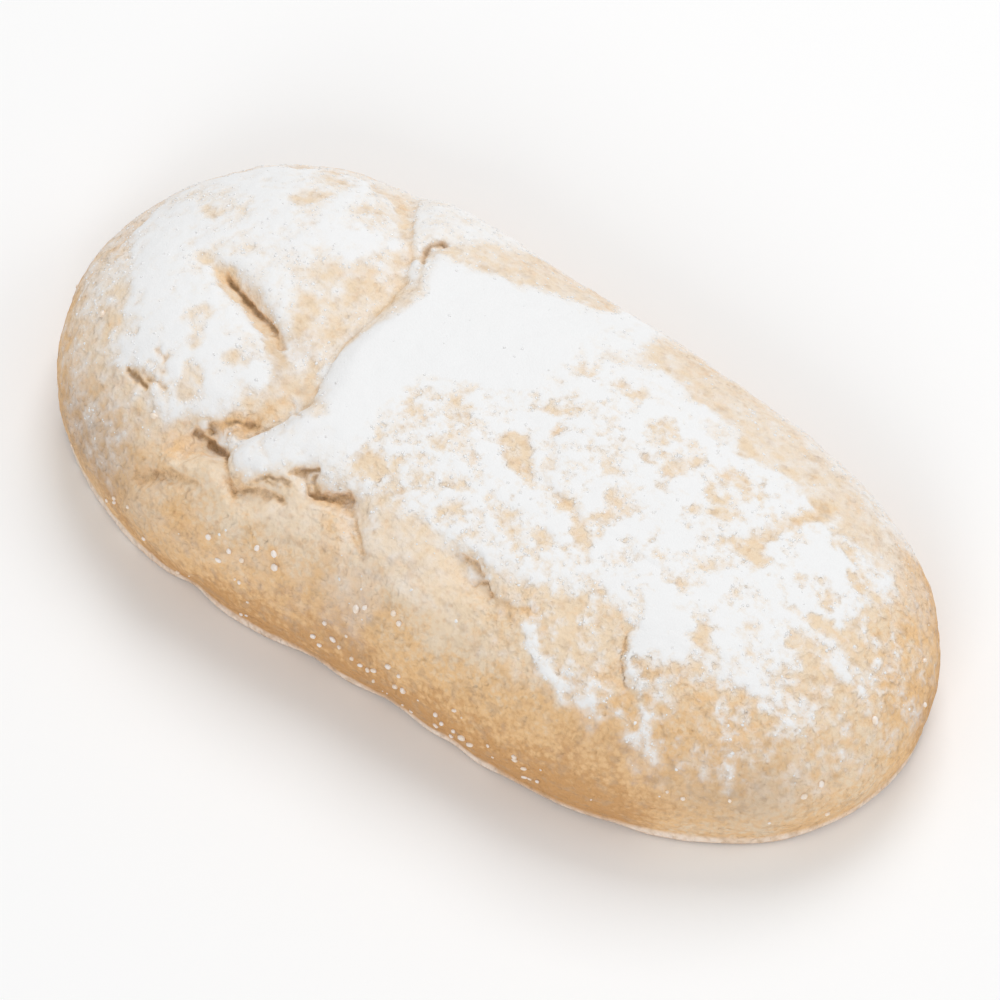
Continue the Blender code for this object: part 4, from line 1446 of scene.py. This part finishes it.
class Grains:
    """Many small copies of a few modelled shapes, joined in one mesh."""

    def __init__(self, name: str, shapes: list[bpy.types.Object]) -> None:
        """Keeps the shapes' meshes and removes the shapes.

        Args:
            name: the name of the joined piece.
            shapes: the modelled shapes, about 1 mm in radius at the origin.
        """
        self.name = name
        self.shapes = []
        for shape in shapes:
            places = np.array([vertex.co[:] for vertex in shape.data.vertices]) / MM
            faces = np.array([face.vertices[:] for face in shape.data.polygons])
            self.shapes.append((places, faces))
            bpy.data.objects.remove(shape, do_unlink=True)
        self.places: list[np.ndarray] = []
        self.faces: list[np.ndarray] = []
        self.count = 0

    def add(self, shape: int, place: np.ndarray, normal: np.ndarray, size: Place, turn: float) -> None:
        """Sets one copy on the crust.

        Args:
            shape: which of the shapes.
            place: where it stands, in millimetres.
            normal: the crust's normal there.
            size: its half sizes along, across and up.
            turn: how far it is turned about the normal.
        """
        places, faces = self.shapes[shape]
        up = Vector(normal).normalized()
        basis = up.to_track_quat("Z", "Y").to_matrix() @ Matrix.Rotation(turn, 3, "Z")
        self.places.append((places * size) @ np.array(basis).T + place)
        self.faces.append(faces + self.count)
        self.count += len(places)

    def finish(self, material: bpy.types.Material) -> bpy.types.Object:
        """Joins the copies.

        Args:
            material: the material of them all.

        Returns:
            The joined piece.
        """
        mesh = bpy.data.meshes.new(self.name)
        points = np.concatenate(self.places) * MM
        mesh.from_pydata(points.tolist(), [], np.concatenate(self.faces).tolist())
        mesh.update()
        for face in mesh.polygons:
            face.use_smooth = True
        mesh.materials.append(material)
        piece = bpy.data.objects.new(self.name, mesh)
        bpy.context.scene.collection.objects.link(piece)
        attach(piece, BODY)
        LOG.info("%s: %d faces", self.name, len(mesh.polygons))
        return piece


@dataclass
class SugarLumps:
    """Clumps of powdered sugar that stand out of the dusting, thickest along its edges."""

    surface: Surface
    finish: GrainFinish
    count: int = 5200
    shapes: int = 4
    first_shape: int = 3
    roughness: float = 0.35
    smallest: float = 0.09
    largest: float = 0.24
    rarity: float = 2.6
    widths: Span = (0.7, 1.0)
    heights: Span = (0.35, 0.6)
    edge_amount: float = 0.62
    edge_width: float = 0.16
    elsewhere: float = 0.04
    elsewhere_from: Span = (0.1, 0.5)
    seed: int = 21

    def build(self) -> bpy.types.Object:
        """Makes the piece.

        Returns:
            The joined clumps.
        """
        chance = np.random.default_rng(self.seed)
        seeds = range(self.first_shape, self.first_shape + self.shapes)
        grains = Grains("sugar_lumps", [rough_ball(1, self.roughness, seed) for seed in seeds])
        sugar = self.surface.sugar[self.surface.triangles].mean(axis=1)
        weights = dome(sugar - self.edge_amount, self.edge_width)
        weights += self.elsewhere * smoothstep(*self.elsewhere_from, sugar)
        places, normals = self.surface.scatter(chance, weights, self.count)
        for place, normal in zip(places, normals):
            radius = self.smallest + (self.largest - self.smallest) * chance.random() ** self.rarity
            size = (radius, radius * chance.uniform(*self.widths), radius * chance.uniform(*self.heights))
            shape = int(chance.integers(self.shapes))
            grains.add(shape, place, normal, size, chance.uniform(0.0, math.tau))
        return grains.finish(self.finish.material())


BEAD_PLACES: Line = (
    (-13.6, -25.7, 12.3), (-10.2, -24.2, 14.9), (-9.7, -24.9, 13.6), (-18.1, -25.7, 12.7),
    (-15.3, -25.6, 12.5), (-12.3, -24.6, 14.5), (-3.7, -26.1, 7.5), (-2.9, -26.1, 6.5), (-0.5, -25.7, 7.8),
    (2.3, -25.7, 6.9), (4.1, -25.6, 7.5), (5.8, -25.3, 9.4), (8, -25.6, 7.2), (13.2, -25.7, 5.8),
    (14.3, -25.4, 4.2), (15.9, -25.7, 5.7), (5.7, -23.3, 15), (4.8, -22.9, 15.7), (-2.6, -25.5, 10.1),
    (22.4, -25.1, 7.5), (-30.8, -19.1, 16.7), (-44.2, -11.7, 16.2), (50.6, -9.7, 9.9), (51.5, -1.6, 12.9),
    (49.8, -11.6, 9.1), (12.2, -25.6, 6.4), (14.8, -25.7, 5.9), (16.9, -25.6, 5.2), (3.3, -25.7, 6.9),
    (6.9, -25.5, 6.9), (0.6, -23.9, 13.9), (1.5, -23.6, 14.6), (-1.4, -25.7, 8.4), (1.2, -25.8, 7.2),
)


@dataclass
class SugarBeads:
    """Small beads of melted sugar on the wall and above the foot."""

    surface: Surface
    finish: GrainFinish
    scattered: int = 90
    roughness: float = 0.2
    radius: float = 0.31
    placed_share: Span = (0.9, 1.25)
    scattered_share: Span = (0.35, 0.95)
    stretch: tuple[Span, ...] = ((0.9, 1.5), (0.8, 1.1), (0.6, 0.9))
    lift: float = 0.25
    lowest: Span = (1.5, 3.0)
    highest: Span = (13.0, 6.0)
    group_grain: Grain = Grain(9.0, 1, 60.0)
    groups: Span = (0.0, 0.35)
    between_groups: float = 0.08
    seed: int = 5

    def build(self) -> bpy.types.Object:
        """Makes the piece.

        Returns:
            The joined beads.
        """
        chance = np.random.default_rng(self.seed)
        grains = Grains("sugar_beads", [rough_ball(2, self.roughness, 2)])
        middles = self.surface.points[self.surface.triangles].mean(axis=1)
        weights = smoothstep(*self.lowest, middles[:, 2]) * smoothstep(*self.highest, middles[:, 2])
        grouped = smoothstep(*self.groups, self.group_grain.at(middles))
        weights *= grouped + self.between_groups
        places, normals = self.surface.scatter(chance, weights, self.scattered)
        placed = [self.surface.settle(place) for place in BEAD_PLACES]
        for number, (place, normal) in enumerate([*placed, *zip(places, normals)]):
            share = self.placed_share if number < len(placed) else self.scattered_share
            radius = self.radius * chance.uniform(*share)
            size = tuple(radius * chance.uniform(*span) for span in self.stretch)
            grains.add(0, place + normal * radius * self.lift, normal, size, chance.uniform(0.0, math.tau))
        return grains.finish(self.finish.material())


class Lamp(NamedTuple):
    """A soft square lamp that points at the biscuit: its place and the length of its side are in metres."""

    name: str
    place: Place
    size: float
    energy: float

    def hang(self) -> None:
        """Puts the lamp in the scene."""
        data = bpy.data.lights.new(self.name, "AREA")
        data.shape = "SQUARE"
        data.size = self.size
        data.energy = self.energy
        item = bpy.data.objects.new(self.name, data)
        item.location = self.place
        item.rotation_mode = "QUATERNION"
        item.rotation_quaternion = (-Vector(self.place)).to_track_quat("-Z", "Y")
        bpy.context.scene.collection.objects.link(item)


LAMPS: tuple[Lamp, ...] = (
    Lamp("lamp_behind", (-0.22, 0.48, 0.70), 0.45, 3.2),
    Lamp("lamp_front", (0.26, -0.58, 0.40), 0.30, 1.5),
    Lamp("lamp_right", (0.55, 0.34, 0.50), 0.35, 0.80),
)


@dataclass(frozen=True)
class Studio:
    """A pale floor, soft light from above and behind, and the photograph's camera.

    Lengths are in metres, those of the lens and the sensor in millimetres.
    """

    azimuth: float = 37.5
    elevation: float = 55.0
    distance: float = 0.6
    lens: float = 198.09
    sensor: float = 36.0
    clip: Span = (0.05, 20.0)
    aside: float = 0.00095
    above: float = 0.00355
    floor_size: float = 4.0
    floor_colour: Colour = (0.95, 0.95, 0.95)
    floor_roughness: float = 0.9
    floor_shine: float = 0.1
    room_light: float = 0.50

    def floor(self) -> None:
        """Lays the floor."""
        deselect_all()
        bpy.ops.mesh.primitive_plane_add(size=self.floor_size)
        floor = bpy.context.object
        floor.name = "studio_floor"
        graph = Graph("pale_floor")
        colour = (*self.floor_colour, 1.0)
        material = graph.surface(colour=colour, roughness=self.floor_roughness, shine=self.floor_shine)
        floor.data.materials.append(material)

    def lights(self) -> None:
        """Sets the lamps and the room's own light."""
        world = bpy.data.worlds.new("studio_room")
        bpy.context.scene.world = world
        world.use_nodes = True
        background = world.node_tree.nodes["Background"]
        background.inputs["Color"].default_value = (1.0, 1.0, 1.0, 1.0)
        background.inputs["Strength"].default_value = self.room_light
        for lamp in LAMPS:
            lamp.hang()

    def camera(self) -> None:
        """Places the camera."""
        azimuth, elevation = math.radians(self.azimuth), math.radians(self.elevation)
        level = math.cos(elevation)
        right = Vector((math.cos(azimuth), math.sin(azimuth), 0.0))
        back = Vector((math.sin(azimuth) * level, -math.cos(azimuth) * level, math.sin(elevation)))
        up = back.cross(right)
        data = bpy.data.cameras.new("camera")
        data.sensor_width = self.sensor
        data.lens = self.lens
        data.clip_start, data.clip_end = self.clip
        item = bpy.data.objects.new("camera", data)
        place = back * self.distance + right * self.aside + up * self.above
        item.matrix_world = Matrix.Translation(place) @ Matrix((right, up, back)).transposed().to_4x4()
        bpy.context.scene.collection.objects.link(item)
        bpy.context.scene.camera = item

    def build(self) -> None:
        """Sets up the whole studio."""
        self.floor()
        self.lights()
        self.camera()
        settings = bpy.context.scene.view_settings
        settings.view_transform = "Standard"
        settings.look = "None"


def corners(box: tuple[Vector, Vector]) -> list[list[float]]:
    """A box as plain lists."""
    return [[float(part) for part in corner] for corner in box]


def main() -> None:
    """Builds the dressed biscuit and its studio."""
    logging.basicConfig(level=logging.INFO, format="%(message)s")
    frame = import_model()
    deselect_all()
    Studio().build()
    crust = SpongeCrust(frame["nodes"][NODE], Dusting(), CrustFinish()).build()
    surface = Surface(crust)
    SugarLumps(surface, POWDERED_SUGAR).build()
    SugarBeads(surface, BEAD_SUGAR).build()
    deselect_all()


if __name__ == "__main__":
    main()
